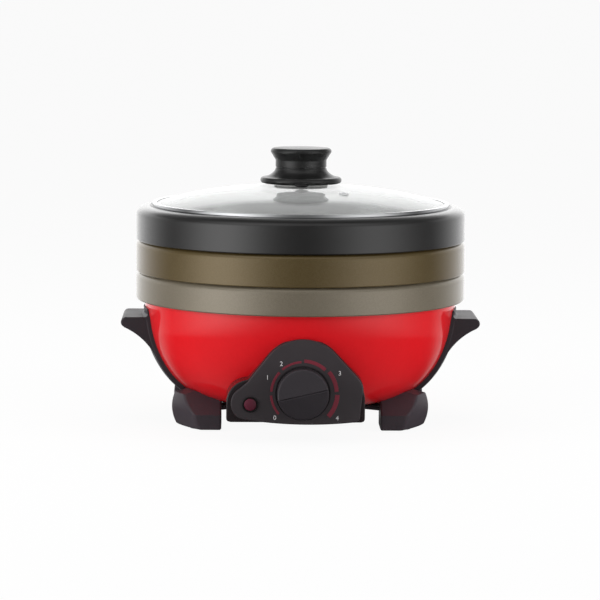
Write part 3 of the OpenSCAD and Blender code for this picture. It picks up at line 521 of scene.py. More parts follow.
# The same resin in the handles: darker, with a skin that lights up at a slant
HANDLE_PHENOLIC = Finish("moulded_handle_phenolic", "#272227", "#312b30", Surface.MOULDED, 0.42, 0.9, 0.01)
# The same resin in the knob, a little more polished by the mould
KNOB_PHENOLIC = Finish("polished_phenolic", "#151515", "#1c1c1c", Surface.MOULDED, 0.29, 0.9, 0.005,
                       ior=1.6)
# Injection-moulded ABS with a spark-eroded face: charcoal with a faint warm cast
PANEL_ABS = Finish("textured_abs_panel", "#332e31", "#3b3538", Surface.MOULDED, 0.5, 0.7, 0.014)
# The dial's ABS: darker and a little glossier
DIAL_ABS = Finish("satin_abs_dial", "#2c282c", "#353135", Surface.MOULDED, 0.34, 0.6, 0.008)
# Polypropylene of the control housing: black, a little waxy
HOUSING_PP = Finish("moulded_black_polypropylene", "#241d1f", "#2b2426", Surface.MOULDED, 0.24, 1.0, 0.012)
# Nylon ring round the lamp: painted near-black, as the shade of a recess round the lens
BLACK_BEZEL_PAINTED_SHADE = Finish("black_bezel_painted_recess_shade", "#060606", "#0b0b0b", Surface.MOULDED, 0.6, 0.8, 0.006)
# Tinted acrylic lens: dark crimson with a satin crown
LENS_ACRYLIC = Finish("crimson_acrylic_lens", "#561a2c", "#611d33", Surface.SPRAYED, 0.42, 2.0, 0.004)
# Pad-printed inks: a thin flat film, slightly patchy where the pad lifted
CRIMSON_INK = Finish("crimson_pad_ink", "#75202f", "#7e2839", Surface.SPRAYED, 0.5, 0.8, 0.004)
WHITE_INK = Finish("pale_pad_ink", "#cfcccd", "#dedbdc", Surface.SPRAYED, 0.5, 0.8, 0.004)
# Rolled and polished stainless steel: bright, with hair-fine rings from the polishing wheel
POLISHED_STEEL = Finish("polished_stainless_steel", "#cfd0d2", "#dddedf", Surface.TURNED, 0.14, 0.5, 0.002,
                        metallic=1.0, gloss_spread=0.04)
# Tumbled stainless steel of the vent's eyelet: pale and satin, so it hardly shows on the glass
TUMBLED_STEEL = Finish("tumbled_stainless_steel", "#e6e7e8", "#f0f0f1", Surface.TURNED, 0.5, 0.8, 0.002,
                       metallic=0.4, gloss_spread=0.05)
# Bright drawn aluminium sheet of the reflector: streaks that run up the wall
DRAWN_ALUMINIUM = Finish("drawn_aluminium_sheet", "#b9bbbd", "#cacbcc", Surface.DRAWN, 0.32, 1.6, 0.006,
                         metallic=1.0)
# Die-cast aluminium with a turned face: rings of the tool, drawn twice as wide as they are
TURNED_ALUMINIUM = Finish("turned_cast_aluminium", "#8f9193", "#a6a8a9", Surface.TURNED, 0.36, 1.4, 0.03,
                          metallic=1.0)
# Zinc-plated steel: grey-white, a little cloudy
ZINC_STEEL = Finish("zinc_plated_steel", "#a9abaa", "#bdbfbd", Surface.DRAWN, 0.34, 1.2, 0.004,
                    metallic=1.0)
# Tube of the element, dulled brown-grey by heat
ELEMENT_STEEL = Finish("heat_dulled_steel", "#5d5652", "#736b64", Surface.DRAWN, 0.48, 2.0, 0.008,
                       metallic=1.0)
# Powder-coated steel: black with a slight ripple
POWDER_BLACK = Finish("black_powder_coat", "#191919", "#222222", Surface.SPRAYED, 0.5, 1.6, 0.02)
# Steatite and urea mouldings: off-white, close-grained
CERAMIC = Finish("glazed_steatite", "#d9d4c6", "#e3dfd3", Surface.MOULDED, 0.4, 0.8, 0.006)
# Moulded nitrile rubber: matt and dusty
RUBBER = Finish("moulded_nitrile_rubber", "#1c1c1c", "#2b2b2a", Surface.MOULDED, 0.72, 0.8, 0.02)
# Silicone: milky, with a soft sheen
SILICONE = Finish("moulded_silicone", "#c6c6c4", "#d2d2d0", Surface.MOULDED, 0.5, 0.9, 0.006)
# Drawn copper tube, slightly tarnished
COPPER = Finish("drawn_copper", "#a8643f", "#8a5236", Surface.DRAWN, 0.35, 1.0, 0.004, metallic=1.0)
# Extruded silicone sleeves of the leads: even colour, waxy, faintly streaked along
BROWN_SLEEVE, BLACK_SLEEVE, BLUE_SLEEVE = (
    Finish(f"{name}_silicone_sleeve", colour, tone, Surface.DRAWN, 0.45, 1.0, 0.004)
    for name, colour, tone in (("brown", "#54301c", "#5f3822"), ("black", "#151515", "#1d1d1d"),
                               ("blue", "#22487f", "#2b538c")))
GLASS = ClearGlass()

SLOT_FINISHES: dict[str, Substance] = {
    "tempered_glass": GLASS, "polished_steel": POLISHED_STEEL, "black_phenolic": PHENOLIC,
    "silicone": SILICONE, "zinc_steel": ZINC_STEEL, "black_coating": BLACK_COAT,
    "bronze_coating": BRONZE_COAT, "champagne_coating": CHAMPAGNE_COAT, "red_lacquer": RED_LACQUER,
    "aluminium_sheet": DRAWN_ALUMINIUM, "cast_aluminium": TURNED_ALUMINIUM,
    "element_steel": ELEMENT_STEEL, "black_steel": POWDER_BLACK, "ceramic": CERAMIC,
    "black_plastic": HOUSING_PP, "panel_plastic": PANEL_ABS, "dial_plastic": DIAL_ABS,
    "lamp_red": LENS_ACRYLIC, "pad_rubber": RUBBER, "copper": COPPER, "brown_insulation": BROWN_SLEEVE,
    "black_insulation": BLACK_SLEEVE, "blue_insulation": BLUE_SLEEVE,
}
NODE_FINISHES: dict[str, Substance] = {"vent_eyelet": TUMBLED_STEEL}


def dress(piece: Piece, finish: Substance, body: str, node: str = "",
          crease: float = 32) -> None:
    """Shades a finished piece, gives it its material and sets it on its body.

    Args:
        piece: the object.
        finish: what it is made of.
        body: the CAD body it rides on.
        node: the CAD node it stands for, if any.
        crease: degrees from which an edge stays sharp; 0 leaves the piece flat-shaded.
    """
    if crease:
        piece.data.shade_smooth()
        piece.data.set_sharp_from_angle(angle=math.radians(crease))
        piece.modifiers.new("even_normals", "WEIGHTED_NORMAL").keep_sharp = True
    piece.data.materials.clear()
    piece.data.materials.append(finish.material())
    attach(piece, body)
    if node:
        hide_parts(node)
    LOG.info("%s: %s, on %s", piece.name, finish.name, body)


# ---- the base

@dataclass(frozen=True)
class ShellForm:
    """The bowl that the shell, liner, handles, legs and housing share."""

    floor_r: float = 77.53
    floor_z: float = 21.2
    corner: Point = (61.0, 84.0)
    flare: float = 9.0
    sheet: float = 1.2
    rim_z: float = 111.1
    mouth_r: float = 60.53
    headroom: float = 4.0

    @property
    def centre(self) -> Point:
        """Middle of the bottom corner's oval."""
        return (self.floor_r, self.floor_z + self.corner[1])

    @property
    def slope(self) -> float:
        """How far the wall leans out for each millimetre of height."""
        return math.tan(math.radians(self.flare))

    def bend(self, inward: float = 0.0, start: float = -90.0) -> list[Point]:
        """The oval corner up to the wall's foot.

        Args:
            inward: how far the surface is moved in.
            start: first angle in degrees, -90 at the floor.

        Returns:
            Radius and height of its points.
        """
        w, h = self.corner[0] - inward, self.corner[1] - inward
        return oval(self.centre, w, h, start, -math.degrees(math.atan(h / w * self.slope)), 40)

    def wall_r(self, z: float, inward: float = 0.0) -> float:
        """Radius of the leaning wall at a height."""
        r, foot_z = self.bend(inward)[-1]
        return r + (z - foot_z) * self.slope

    def height(self, r: float) -> float:
        """Height of the outer surface.

        Args:
            r: distance from the pot axis.

        Returns:
            The height there.
        """
        if r <= self.floor_r:
            return self.floor_z
        foot_r, foot_z = self.bend()[-1]
        if r <= foot_r:
            share = (r - self.floor_r) / self.corner[0]
            return self.centre[1] - self.corner[1] * math.sqrt(1 - share ** 2)
        return foot_z + (r - foot_r) / self.slope

    def side(self, inward: float = 0.0, top: float | None = None) -> list[Point]:
        """The surface from the floor's edge up the wall.

        Args:
            inward: how far the surface is moved in.
            top: height of the last point, the rim if none is given.

        Returns:
            Radius and height of its points.
        """
        corner = self.bend(inward)
        wall = spaced(corner[-1][1], self.rim_z if top is None else top, 8)[1:]
        return corner + [(self.wall_r(z, inward), z) for z in wall]

    def filled(self, grow: float = FIT) -> Piece:
        """The bowl as one solid, to cut what lies against it."""
        top = self.rim_z + self.headroom
        return lathe("shell_cutter", [(0, self.floor_z - grow)] + self.side(-grow, top) + [(0, top)])


FORM = ShellForm()


@dataclass
class HeatedBase:
    """Outer shell, reflector liner, hot plate and foot pads."""

    liner_gap: float = 7.0
    liner_t: float = 0.8
    liner_mouth_r: float = 73.93
    # steps out and up of the liner's bend into its flange
    liner_bend: tuple[Point, ...] = ((0.0, -1.0), (0.4, -0.3), (1.2, 0.0))
    plate_z: float = 35.0
    plate_t: float = 11.0
    plate_r: float = 83.53
    plate_edge: float = 1.4
    # radius and height of the steps turned into the plate's face
    plate_face: tuple[Point, ...] = (
        (77.53, 0.0), (76.93, -0.5), (75.13, -0.5), (74.53, 0.0), (12.0, 0.0), (11.4, -0.6), (0.0, -0.6))
    pad_r: float = 8.9
    pad_t: float = 2.3
    pad_edge: float = 0.7
    # radius and height of the hollow under a pad
    pad_hollow: tuple[Point, ...] = ((0.0, 0.5), (4.895, 0.5), (5.518, 0.0), (8.1, 0.0))
    pad_x: float = 89.03
    pad_y: float = 58.53

    def shell(self) -> None:
        """The red outer bowl, with a folded rim."""
        half, top = FORM.sheet / 2, FORM.rim_z
        profile = ([(FORM.mouth_r, FORM.floor_z)] + FORM.side()[:-1]
                   + arc((FORM.wall_r(top) - half, top - half), half, 0, 180, 6)
                   + FORM.side(FORM.sheet)[-2::-1] + [(FORM.mouth_r, FORM.floor_z + FORM.sheet)])
        dress(lathe("outer_shell_lacquered", profile), RED_LACQUER, BASE, "outer_shell")

    def liner(self) -> None:
        """The bright reflector inside the shell, with a flange on the shell's rim."""
        out, top, t = FORM.sheet + self.liner_gap, FORM.rim_z, self.liner_t
        flange_r, bend = FORM.wall_r(top) - FIT, FORM.wall_r(top, out)
        profile = ([(self.liner_mouth_r, FORM.floor_z + out)] + FORM.side(out)[:-1]
                   + [(bend + dr, top + dz) for dr, dz in self.liner_bend]
                   + [(flange_r, top), (flange_r, top + t), (bend - self.liner_bend[1][0], top + t)]
                   + FORM.side(out + t)[-2::-1] + [(self.liner_mouth_r, FORM.floor_z + out + t)])
        dress(lathe("inner_liner_bright", profile), DRAWN_ALUMINIUM, BASE, "inner_liner")

    def hot_plate(self) -> None:
        """The cast plate under the pots, turned flat with a stepped rim."""
        top, edge, r = self.plate_z + self.plate_t, self.plate_edge, self.plate_r
        profile = ([(0, self.plate_z)] + arc((r - edge, self.plate_z + edge), edge, -90, 0, 5)
                   + arc((r - edge, top - edge), edge, 0, 90, 5)
                   + [(x, top + z) for x, z in self.plate_face])
        dress(lathe("hot_plate_turned", profile), TURNED_ALUMINIUM, BASE, "hot_plate")

    def pads(self) -> None:
        """Four rubber feet with a shallow suction ring."""
        r, t, edge = self.pad_r, self.pad_t, self.pad_edge
        profile = [*self.pad_hollow, *arc((r - edge, edge), edge, -90, 0, 4), (r, t), (0, t)]
        for i, (sx, sy) in enumerate(((-1, -1), (-1, 1), (1, -1), (1, 1))):
            pad = lathe(f"foot_pad_{i}", profile, place=(sx * self.pad_x, sy * self.pad_y, 0), turns=64)
            dress(pad, RUBBER, BASE, "foot_pads")

    def build(self) -> None:
        """Makes every piece of the base."""
        for make in (self.shell, self.liner, self.hot_plate, self.pads):
            make()


@dataclass
class Handles:
    """Two ears, each on a strap that is bent round the shell and runs down it to the legs."""

    reach: float = 160.1
    top_z: float = 95.0
    width: float = 68.0
    ear_inset: float = 0.3
    tip_t: float = 9.2
    strap_t: float = 4.0
    upper_t: float = 1.4
    strap_top_z: float = 102.5
    strap_edge: float = 2.0
    strap_turn: float = -68.0
    root: float = 3.0
    under_centre: Point = (180.5, 32.7)
    under_r: float = 58.0
    under_turns: Point = (152.0, 113.5)
    ear_root: float = 12.0
    edge: float = 1.3

    def ear_outline(self) -> list[Point]:
        """Section of the right ear, from inside the strap out to its tip.

        Returns:
            x and z of its points.
        """
        tip_r = self.tip_t / 2
        under = arc(self.under_centre, self.under_r, *self.under_turns, 28)
        root_x = under[0][0] - self.ear_root
        tip = arc((self.reach - tip_r, self.top_z - tip_r), tip_r, self.under_turns[1] - 180, 90, 18)
        return [(root_x, under[0][1])] + under + tip + [(root_x, self.top_z)]

    def strap_section(self, out: float) -> list[Point]:
        """Section of a strap.

        Args:
            out: how far its face stands off the shell, at least below the ear.

        Returns:
            Radius and height of points up its face and back down against the shell.
        """
        top, root, thin = self.strap_top_z, self.root, min(out, self.upper_t)
        edge = min(self.strap_edge, thin - 6 * FIT)
        low, high = self.top_z - root, self.top_z + root
        return (FORM.bend(-out, self.strap_turn) + [(FORM.wall_r(low, -out), low)]
                + arc((FORM.wall_r(high, -thin) + root, high), root, -90, -180, 6)
                + arc((FORM.wall_r(top - edge, edge - thin), top - edge), edge, 0, 90, 6)
                + [(FORM.wall_r(top, -FIT), top)] + FORM.bend(-FIT, self.strap_turn)[::-1])

    def strap(self, side: int) -> Piece:
        """A strap with rounded long edges.

        Args:
            side: 1 for the right handle, -1 for the left one.

        Returns:
            The strap, to be joined to its ear.
        """
        half, edge, t = self.width / 2, self.edge, self.strap_t
        lip = [(edge * (1 - math.cos(a)), t - edge * (1 - math.sin(a))) for a in spaced(0, QUARTER, 6)]
        run = [(d - half, out) for d, out in lip]
        run += [(y, t) for y in spaced(edge - half, half - edge, 16)[1:-1]]
        run += [(half - d, out) for d, out in reversed(lip)]
        return loft("strap", [[(side * math.sqrt(r * r - y * y), y, z) for r, z in self.strap_section(out)]
                              for y, out in run])

    def build(self) -> None:
        """Makes both handles; an ear ends inside its strap's thickness."""
        half = self.width / 2 - self.ear_inset
        for side, name in ((1, "right_handle"), (-1, "left_handle")):
            line = [(side * x, z) for x, z in self.ear_outline()]
            ear = plate(f"{name}_moulding", line, half, -half, self.edge, self.edge)
            carve(ear, FORM.filled(self.strap_t / 2))
            carve(ear, self.strap(side), Carving.JOIN)
            dress(ear, HANDLE_PHENOLIC, BASE, name)


@dataclass
class Legs:
    """Four legs cut from one barrel-shaped ring, each with a screw tab under the base plate."""

    belly_r: float = 121.53
    belly_z: float = 17.0
    draw_in: float = 4.5
    foot_z: float = 0.8
    top_z: float = 30.0
    top_lean: float = 3.33
    top_edge: float = 0.8
    inner_x: float = 70.03
    front_y: float = 77.03
    depth: float = 37.0
    knee_z: float = 14.0
    lean: float = 48.0
    corner: float = 2.2
    foot_edge: float = 1.0
    levels: int = 18
    # heights between which a leg meets the shell, and how often that span is halved to find where
    search: Point = (2.8, 70.0)
    halvings: int = 40
    # sizes of the rings that close a leg's top, as shares of its outline
    top_shares: Spot = (0.7, 0.4, 0.1)
    tab_aim: Point = (93.53, 58.53)
    tab_ring_r: float = 68.53
    tab_w: float = 16.0
    tab_t: float = 4.0
    tab_z: float = 15.0
    tab_corner: float = 4.0
    tab_edge: float = 0.6

    def outer_r(self, z: float) -> float:
        """Radius of the barrel; its top edge is rounded, and the top leans in flat above it.

        Args:
            z: height.

        Returns:
            The radius there.
        """
        low = min(z, self.top_z)
        r = self.belly_r - self.draw_in * ((low - self.belly_z) / self.belly_z) ** 2
        bend = max(0.0, low - self.top_z + self.top_edge) / self.top_edge
        r -= self.top_edge * (1 - math.sqrt(1 - bend * bend))
        return r - self.top_lean * max(0.0, z - self.top_z)

    def plan(self, z: float) -> list[Point]:
        """Outline of the rear right leg, seen from above; it leans in above the knee.

        Args:
            z: height.

        Returns:
            Its points, the same number at each height.
        """
        r, near, steps = self.outer_r(z), self.front_y - self.depth, 14
        far = self.front_y - max(0.0, z - self.knee_z) * math.tan(math.radians(self.lean))
        start, end = math.degrees(math.asin(near / r)), math.degrees(math.asin(far / r))
        line = [(self.inner_x, near)] + arc((0, 0), r, start, end, steps) + [(self.inner_x, far)]
        return rounded(line, dict.fromkeys((0, 1, steps + 1, steps + 2), self.corner))

    def tops(self) -> list[float]:
        """Where each upright line of a leg meets the shell.

        Returns:
            One height for each point of the plan.
        """
        found = []
        for i in range(len(self.plan(self.belly_z))):
            low, high = self.search
            for _ in range(self.halvings):
                z = (low + high) / 2
                low, high = (z, high) if FORM.height(Vector(self.plan(z)[i]).length) > z else (low, z)
            found.append(low - FIT)
        return found

    def rings(self) -> list[list[Spot]]:
        """Rings from the foot up to the shell, then inwards along it.

        Returns:
            The points of each.
        """
        tops = self.tops()
        bend = [self.top_z - self.top_edge * (1 - math.sin(a)) for a in spaced(0, QUARTER, 5)]
        steps = spaced(self.foot_z + self.foot_edge, bend[0], self.levels)[:-1]
        made = [[(x, y, self.foot_z) for x, y in inset(self.plan(self.foot_z), self.foot_edge)]]
        for level in sorted([*steps, self.knee_z]) + bend + [math.inf]:
            heights = [min(level, top) for top in tops]
            made.append([(*self.plan(z)[i], z) for i, z in enumerate(heights)])
        rim = [Vector(spot[:2]) for spot in made[-1]]
        middle = sum(rim, Vector((0, 0))) / len(rim)
        for share in self.top_shares:
            closer = [middle + (spot - middle) * share for spot in rim]
            made.append([(spot.x, spot.y, FORM.height(spot.length) - FIT) for spot in closer])
        return made

    def tab(self, sx: int, sy: int) -> Piece:
        """The tongue under the base plate that takes a leg's screw.

        Args:
            sx: 1 on the right, -1 on the left.
            sy: 1 at the back, -1 at the front.

        Returns:
            The tongue, to be joined to its leg.
        """
        mid, half = Vector(self.tab_aim).normalized(), self.tab_w / 2
        across = Vector((-mid.y, mid.x)) * half
        inner, outer = mid * (self.tab_ring_r - half), mid * (self.tab_ring_r + 3 * half)
        line = counter_clockwise(rounded([inner - across, outer - across, outer + across, inner + across],
                                         dict.fromkeys((0, 3), self.tab_corner)))
        layers = ((self.tab_edge, 0.0), (0.0, self.tab_edge), (0.0, self.tab_t))
        return loft("leg_tab", [[(sx * x, sy * y, self.tab_z + up) for x, y in inset(line, cut)]
                                for cut, up in layers])

    def build(self) -> None:
        """Makes the four legs."""
        rings = self.rings()
        for sx, sy, name in ((1, 1, "rear_right_leg"), (-1, 1, "rear_left_leg"),
                             (1, -1, "front_right_leg"), (-1, -1, "front_left_leg")):
            leg = loft(f"{name}_moulding", [[(sx * x, sy * y, z) for x, y, z in ring] for ring in rings])
            carve(leg, self.tab(sx, sy), Carving.JOIN)
            dress(leg, PHENOLIC, BASE, name)


# ---- the controls

@dataclass
class Controls:
    """Housing, panel with its printed scale, dial and lamp; x and z are from the dial's axis."""

    dial_z: float = 43.4
    panel_front: float = 141.0
    panel_back: float = 137.0
    panel_edge: float = 1.0
    recess_r: float = 23.3
    recess_depth: float = 1.5
    recess_lip: float = 0.3
    dial_r: float = 22.0
    dial_back: float = 140.0
    dial_rim: float = 149.5
    dial_front: float = 155.0
    dial_tilt: float = 13.0
    dial_edge: float = 1.6
    dial_bend: float = 0.5
    dial_groove: float = 0.9
    dial_groove_w: float = 0.42
    dial_rows: int = 72
    dial_cols: int = 48
    # rows of points on each side of the ridge, close enough to draw its groove
    ridge_rows: tuple[float, ...] = (0.15, 0.3, 0.45, 0.6, 0.8, 1.1)
    ridge_half: float = 1.2
    lamp: Point = (-45.0, -9.8)
    bezel_r: Point = (5.3, 6.8)
    # how far the bezel's back, bore and outer edge stand before the panel
    bezel_y: Spot = (-0.4, 0.3, 0.6)
    lens_r: float = 5.25
    lens_y: float = 0.7
    lens_crown: float = 0.9
    lobe: Point = (-47.0, -9.2)
    lobe_r: float = 14.6
    waist: Point = (-47.4, 9.2)
    arch: Point = (0.0, 9.4)
    arch_r: float = 37.0
    hip: Point = (35.4, 2.0)
    hip_r: float = 16.0
    chin_span: Point = (-51.0, 45.4)
    chin_low: Point = (5.0, -27.1)
    chin_bow: float = 720.0
    jaw_r: float = 3.6
    housing_back: float = 92.0
    housing_left: float = -65.5
    housing_right: float = 53.5
    housing_floor: float = -25.8
    housing_side_top: float = -6.8
    housing_corner: float = 3.5
    housing_lobe_r: float = 20.3
    housing_cheek_r: float = 19.8
    housing_cheek_drop: float = 6.0
    housing_over: float = 0.8
    housing_edge: float = 1.2
    housing_hub: Point = (0.0, -14.0)
    housing_points: int = 300
    ink_t: float = 0.12
    ink_gap: float = 0.005
    ink_edge: float = 0.05
    # size of the type; a figure stands about 0.7 of it
    digit_em: float = 5.46
    # first and last angle, middle radius and width of each printed segment
    scale: tuple[tuple[float, float, float, float], ...] = (
        (221, 184, 27.2, 2.0), (177, 138, 27.0, 2.2), (131, 93, 27.1, 1.9),
        (88, 47, 27.9, 3.0), (40, 3, 28.9, 3.5), (-2, -42, 29.5, 3.9))
    digits: tuple[tuple[str, float, float], ...] = (
        ("0", -23.9, -21.2), ("1", -30.4, 13.6), ("2", -18.6, 25.4), ("3", 31.4, 17.4), ("4", 29.6, -21.4))

    def chin(self, x: float) -> float:
        """Height of the panel's bowed lower edge."""
        return self.chin_low[1] + (x - self.chin_low[0]) ** 2 / self.chin_bow

    def panel_outline(self) -> list[Point]:
        """Outline of the panel: a bowed chin, an arch over the dial and a lobe round the lamp.

        Returns:
            Its points.
        """
        right = self.chin_span[1]
        return ([(x, self.chin(x)) for x in spaced(*self.chin_span, 24)]
                + arc((right, self.chin(right) + self.jaw_r), self.jaw_r, -80, -8, 8)
                + arc(self.hip, self.hip_r, 0, 40, 10) + arc(self.arch, self.arch_r, 40, 140, 40)
                + [self.waist] + arc(self.lobe, self.lobe_r, 122, 236, 24))

    def housing_outline(self) -> list[Point]:
        """Outline of the housing: the panel's, with a shoulder on each side.

        Returns:
            Its points.
        """
        left, right = self.housing_left, self.housing_right
        floor, top = self.housing_floor, self.housing_side_top
        panel = inset(counter_clockwise(self.panel_outline()), -self.housing_over)
        lobe = arc((left + self.housing_lobe_r, self.lobe[1]), self.housing_lobe_r, 0, 355, 71)
        lobe = [(x, max(z, floor)) for x, z in lobe]
        cheek = arc((right - self.housing_cheek_r, -self.housing_cheek_drop),
                    self.housing_cheek_r, 0, 355, 71)
        box = rounded([(left, floor), (right, floor), (right, top), (left, top)],
                      dict.fromkeys(range(4), self.housing_corner))
        hub, made = self.housing_hub, []
        for a in spaced(0, 2 * math.pi, self.housing_points)[:-1]:
            far = max(spread(form, hub, a) for form in (panel, lobe, cheek, box))
            made.append((hub[0] + far * math.cos(a), hub[1] + far * math.sin(a)))
        return made

    def raised(self, outline: Sequence[Point]) -> list[Point]:
        """An outline set at the dial's height."""
        return [(x, z + self.dial_z) for x, z in outline]

    def housing(self) -> None:
        """The black box behind the panel, cut to the shell."""
        box = plate("control_housing_moulding", self.raised(self.housing_outline()),
                    self.panel_back - FIT, self.housing_back, self.housing_edge)
        carve(box, FORM.filled())
        dress(box, HOUSING_PP, BASE, "control_housing")

    def panel(self) -> None:
        """The charcoal front plate, with a round recess for the dial."""
        front, lip, r = self.panel_front, self.recess_lip, self.recess_r
        face = plate("control_panel_moulding", self.raised(self.panel_outline()),
                     front, self.panel_back, self.panel_edge)
        floor, clear = front - self.recess_depth, front + FORM.headroom
        recess = [(0, floor), (r, floor), (r, front - lip), (r + lip, front), (r + lip, clear), (0, clear)]
        carve(face, lathe("recess_cutter", recess, Axis.FRONT, (0, 0, self.dial_z)))
        dress(face, PANEL_ABS, BASE, "control_panel")

    def dial_height(self, across: float, r: float) -> float:
        """How far the dial's face stands out.

        Args:
            across: distance from its ridge line.
            r: distance from its middle.

        Returns:
            The distance before the pot axis.
        """
        slope = (self.dial_front - self.dial_rim) / self.dial_r
        face = self.dial_front - slope * (math.hypot(across, self.dial_bend) - self.dial_bend)
        face -= self.dial_groove * math.exp(-(across / self.dial_groove_w) ** 2)
        lip = max(0.0, r - (self.dial_r - self.dial_edge)) / self.dial_edge
        return face - self.dial_edge * (1 - math.sqrt(max(0.0, 1 - lip * lip)))

    def dial(self) -> None:
        """The round dial: two slopes that meet in a straight grooved ridge."""
        weld = 1e-4
        reach = [self.dial_r * math.sin(a) for a in spaced(-QUARTER, QUARTER, self.dial_rows)]
        ridge = [side * v for side in (-1, 1) for v in self.ridge_rows]
        tilt = math.radians(self.dial_tilt)
        bm = bmesh.new()
        grid = []
        for v in sorted([v for v in reach if abs(v) > self.ridge_half] + ridge + [0.0]):
            half = math.sqrt(max(0.0, self.dial_r ** 2 - v * v))
            row = []
            for u in (half * math.sin(a) for a in spaced(-QUARTER, QUARTER, self.dial_cols)):
                x, z = u * math.cos(tilt) - v * math.sin(tilt), u * math.sin(tilt) + v * math.cos(tilt)
                row.append(bm.verts.new((x, -self.dial_height(v, math.hypot(u, v)), z + self.dial_z)))
            grid.append(row)
        for a, b in zip(grid, grid[1:]):
            for j in range(self.dial_cols):
                bm.faces.new([a[j], a[j + 1], b[j + 1], b[j]])
        bmesh.ops.remove_doubles(bm, verts=bm.verts, dist=weld)
        bmesh.ops.dissolve_degenerate(bm, edges=bm.edges, dist=weld)
        rim = [e for e in bm.edges if e.is_boundary]
        skirt = bmesh.ops.extrude_edge_only(bm, edges=rim)["geom"]
        for vert in (g for g in skirt if isinstance(g, bmesh.types.BMVert)):
            vert.co.y = -self.dial_back
        back = [g for g in skirt if isinstance(g, bmesh.types.BMEdge) and g.is_boundary]
        bmesh.ops.contextual_create(bm, geom=back)
        dress(set_down("dial_moulding", bm), DIAL_ABS, "control_dial", "dial", crease=40)

    def lamp_pieces(self) -> None:
        """The indicator lamp: a bezel ring, painted near-black as a recess's shade, round a crimson lens.
        """
        place = (self.lamp[0], 0, self.lamp[1] + self.dial_z)
        low, bore_y, high = (self.panel_front + y for y in self.bezel_y)
        (bore, r), edge, crown = self.bezel_r, self.bezel_y[2], self.panel_front + self.lens_y
        ring = [(bore, low), (r, low), *arc((r - edge, high), edge, 0, 120, 6), (bore, bore_y)]
        dome = [(0, self.panel_back), (self.lens_r, self.panel_back),
                *oval((0, crown), self.lens_r, self.lens_crown, 0, 90, 12)]
        for name, profile, finish, slot in (("lamp_bezel", ring, BLACK_BEZEL_PAINTED_SHADE, "black_plastic"),
                                            ("lamp_lens_crown", dome, LENS_ACRYLIC, "lamp_red")):
            dress(lathe(name, profile, Axis.FRONT, place, turns=96), finish, BASE, "lamp_lens")

    def printed_scale(self) -> None:
        """The scale: six arcs that grow thicker clockwise."""
        back, front = self.panel_front + self.ink_gap, self.panel_front + self.ink_t
        for i, (start, end, mid, width) in enumerate(self.scale):
            line = (arc((0, 0), mid + width / 2, start, end, 24)
                    + arc((0, 0), mid - width / 2, end, start, 24))
            dress(plate(f"scale_arc_{i}", self.raised(line), front, back, self.ink_edge, steps=2),
                  CRIMSON_INK, BASE)

    def printed_digits(self) -> None:
        """Plain numbers round the scale."""
        y = AXIS_Y - self.panel_front - self.ink_t / 2 - self.ink_gap
        for text, x, z in self.digits:
            curve = bpy.data.curves.new(f"digit_{text}", "FONT")
            curve.body, curve.size, curve.extrude = text, self.digit_em * MM, self.ink_t * MM / 2
            curve.align_x = curve.align_y = "CENTER"
            written = bpy.data.objects.new(f"digit_{text}_curve", curve)
            bpy.context.scene.collection.objects.link(written)
            seen = written.evaluated_get(bpy.context.evaluated_depsgraph_get())
            mark = bpy.data.objects.new(f"scale_digit_{text}", bpy.data.meshes.new_from_object(seen))
            bpy.data.objects.remove(written)
            bpy.context.scene.collection.objects.link(mark)
            mark.data.transform(Matrix.Translation(Vector((x, y, z + self.dial_z)) * MM)
                                @ Matrix.Rotation(QUARTER, 4, "X"))
            dress(mark, WHITE_INK, BASE, crease=0)

    def build(self) -> None:
        """Makes every piece of the controls."""
        for make in (self.housing, self.panel, self.dial, self.lamp_pieces, self.printed_scale,
                     self.printed_digits):
            make()


# ---- pots and lid

@dataclass
class Pot:
    """One nesting pot: a thin bowl under a broad turned-down band with a soft shoulder."""

    name: str
    body: str
    slot: str
    finish: Finish
    z: float
    height: float
    band_r: float = 147.5
    band_t: float = 3.0
    band_edge: float = 1.4
    rim_r: float = 135.5
    seat_r: float = 134.0
    shoulder: Point = (12.0, 7.0)
    seat_depth: float = 2.6
    bowl_r: float = 123.3
    bowl_t: float = 2.0
    bowl_depth: float = 63.5
    flare: float = 8.0
    corner_r: float = 34.0
    throat_r: float = 1.5
    lip: float = 0.5
    # small steps that break the sharp corners of the band's hem and of the seat
    hem: float = 0.4
    seat_step: float = 0.3

    def inner_r(self, above: float) -> float:
        """Inner radius of the bowl at a height over the band's lower edge."""
        return self.bowl_r + above * math.tan(math.radians(self.flare))

    def profile(self) -> list[Point]:
        """Section from the floor's underside, out round the band and back inside.

        Returns:
            Radius and height of its points.
        """
        lean, rim, low = math.radians(self.flare), self.z + self.height, self.z - self.bowl_depth
        seat, wall, throat = rim - self.seat_depth, self.bowl_t / math.cos(lean), self.throat_r
        corner_z = low + self.bowl_t + self.corner_r
        foot_z = corner_z - self.corner_r * math.sin(lean)
        corner = (self.inner_r(foot_z - self.z) - self.corner_r * math.cos(lean), corner_z)
        top = (self.rim_r, rim - self.shoulder[1])
        under, edge, inside = seat - self.bowl_t, self.band_edge, self.band_r - self.band_t
        return ([(0, low)] + arc(corner, self.corner_r + self.bowl_t, -90, -self.flare, 18)
                + [(self.inner_r(under - self.z) + wall, under), (self.rim_r + throat, under)]
                + oval(top, self.shoulder[0] - self.band_t, self.shoulder[1] - self.bowl_t, 55, 0, 8)
                + [(inside, self.z + edge), (inside, self.z + self.hem), (inside + self.hem, self.z)]
                + arc((self.band_r - edge, self.z + edge), edge, -90, 0, 10)
                + oval(top, *self.shoulder, 0, 84, 24)
                + arc((self.rim_r + self.hem, rim - self.lip), self.lip, 84, 180, 6)
                + [(self.seat_r, seat + self.seat_step), (self.seat_r - self.hem, seat)]
                + arc((self.inner_r(seat - self.z) + throat, seat - throat), throat, 90, 172, 8)
                + arc(corner, self.corner_r, -self.flare, -90, 18) + [(0, low + self.bowl_t)])

    def build(self) -> None:
        """Makes the pot."""
        dress(lathe(f"{self.name}_pressed", self.profile()), self.finish, self.body, self.name)


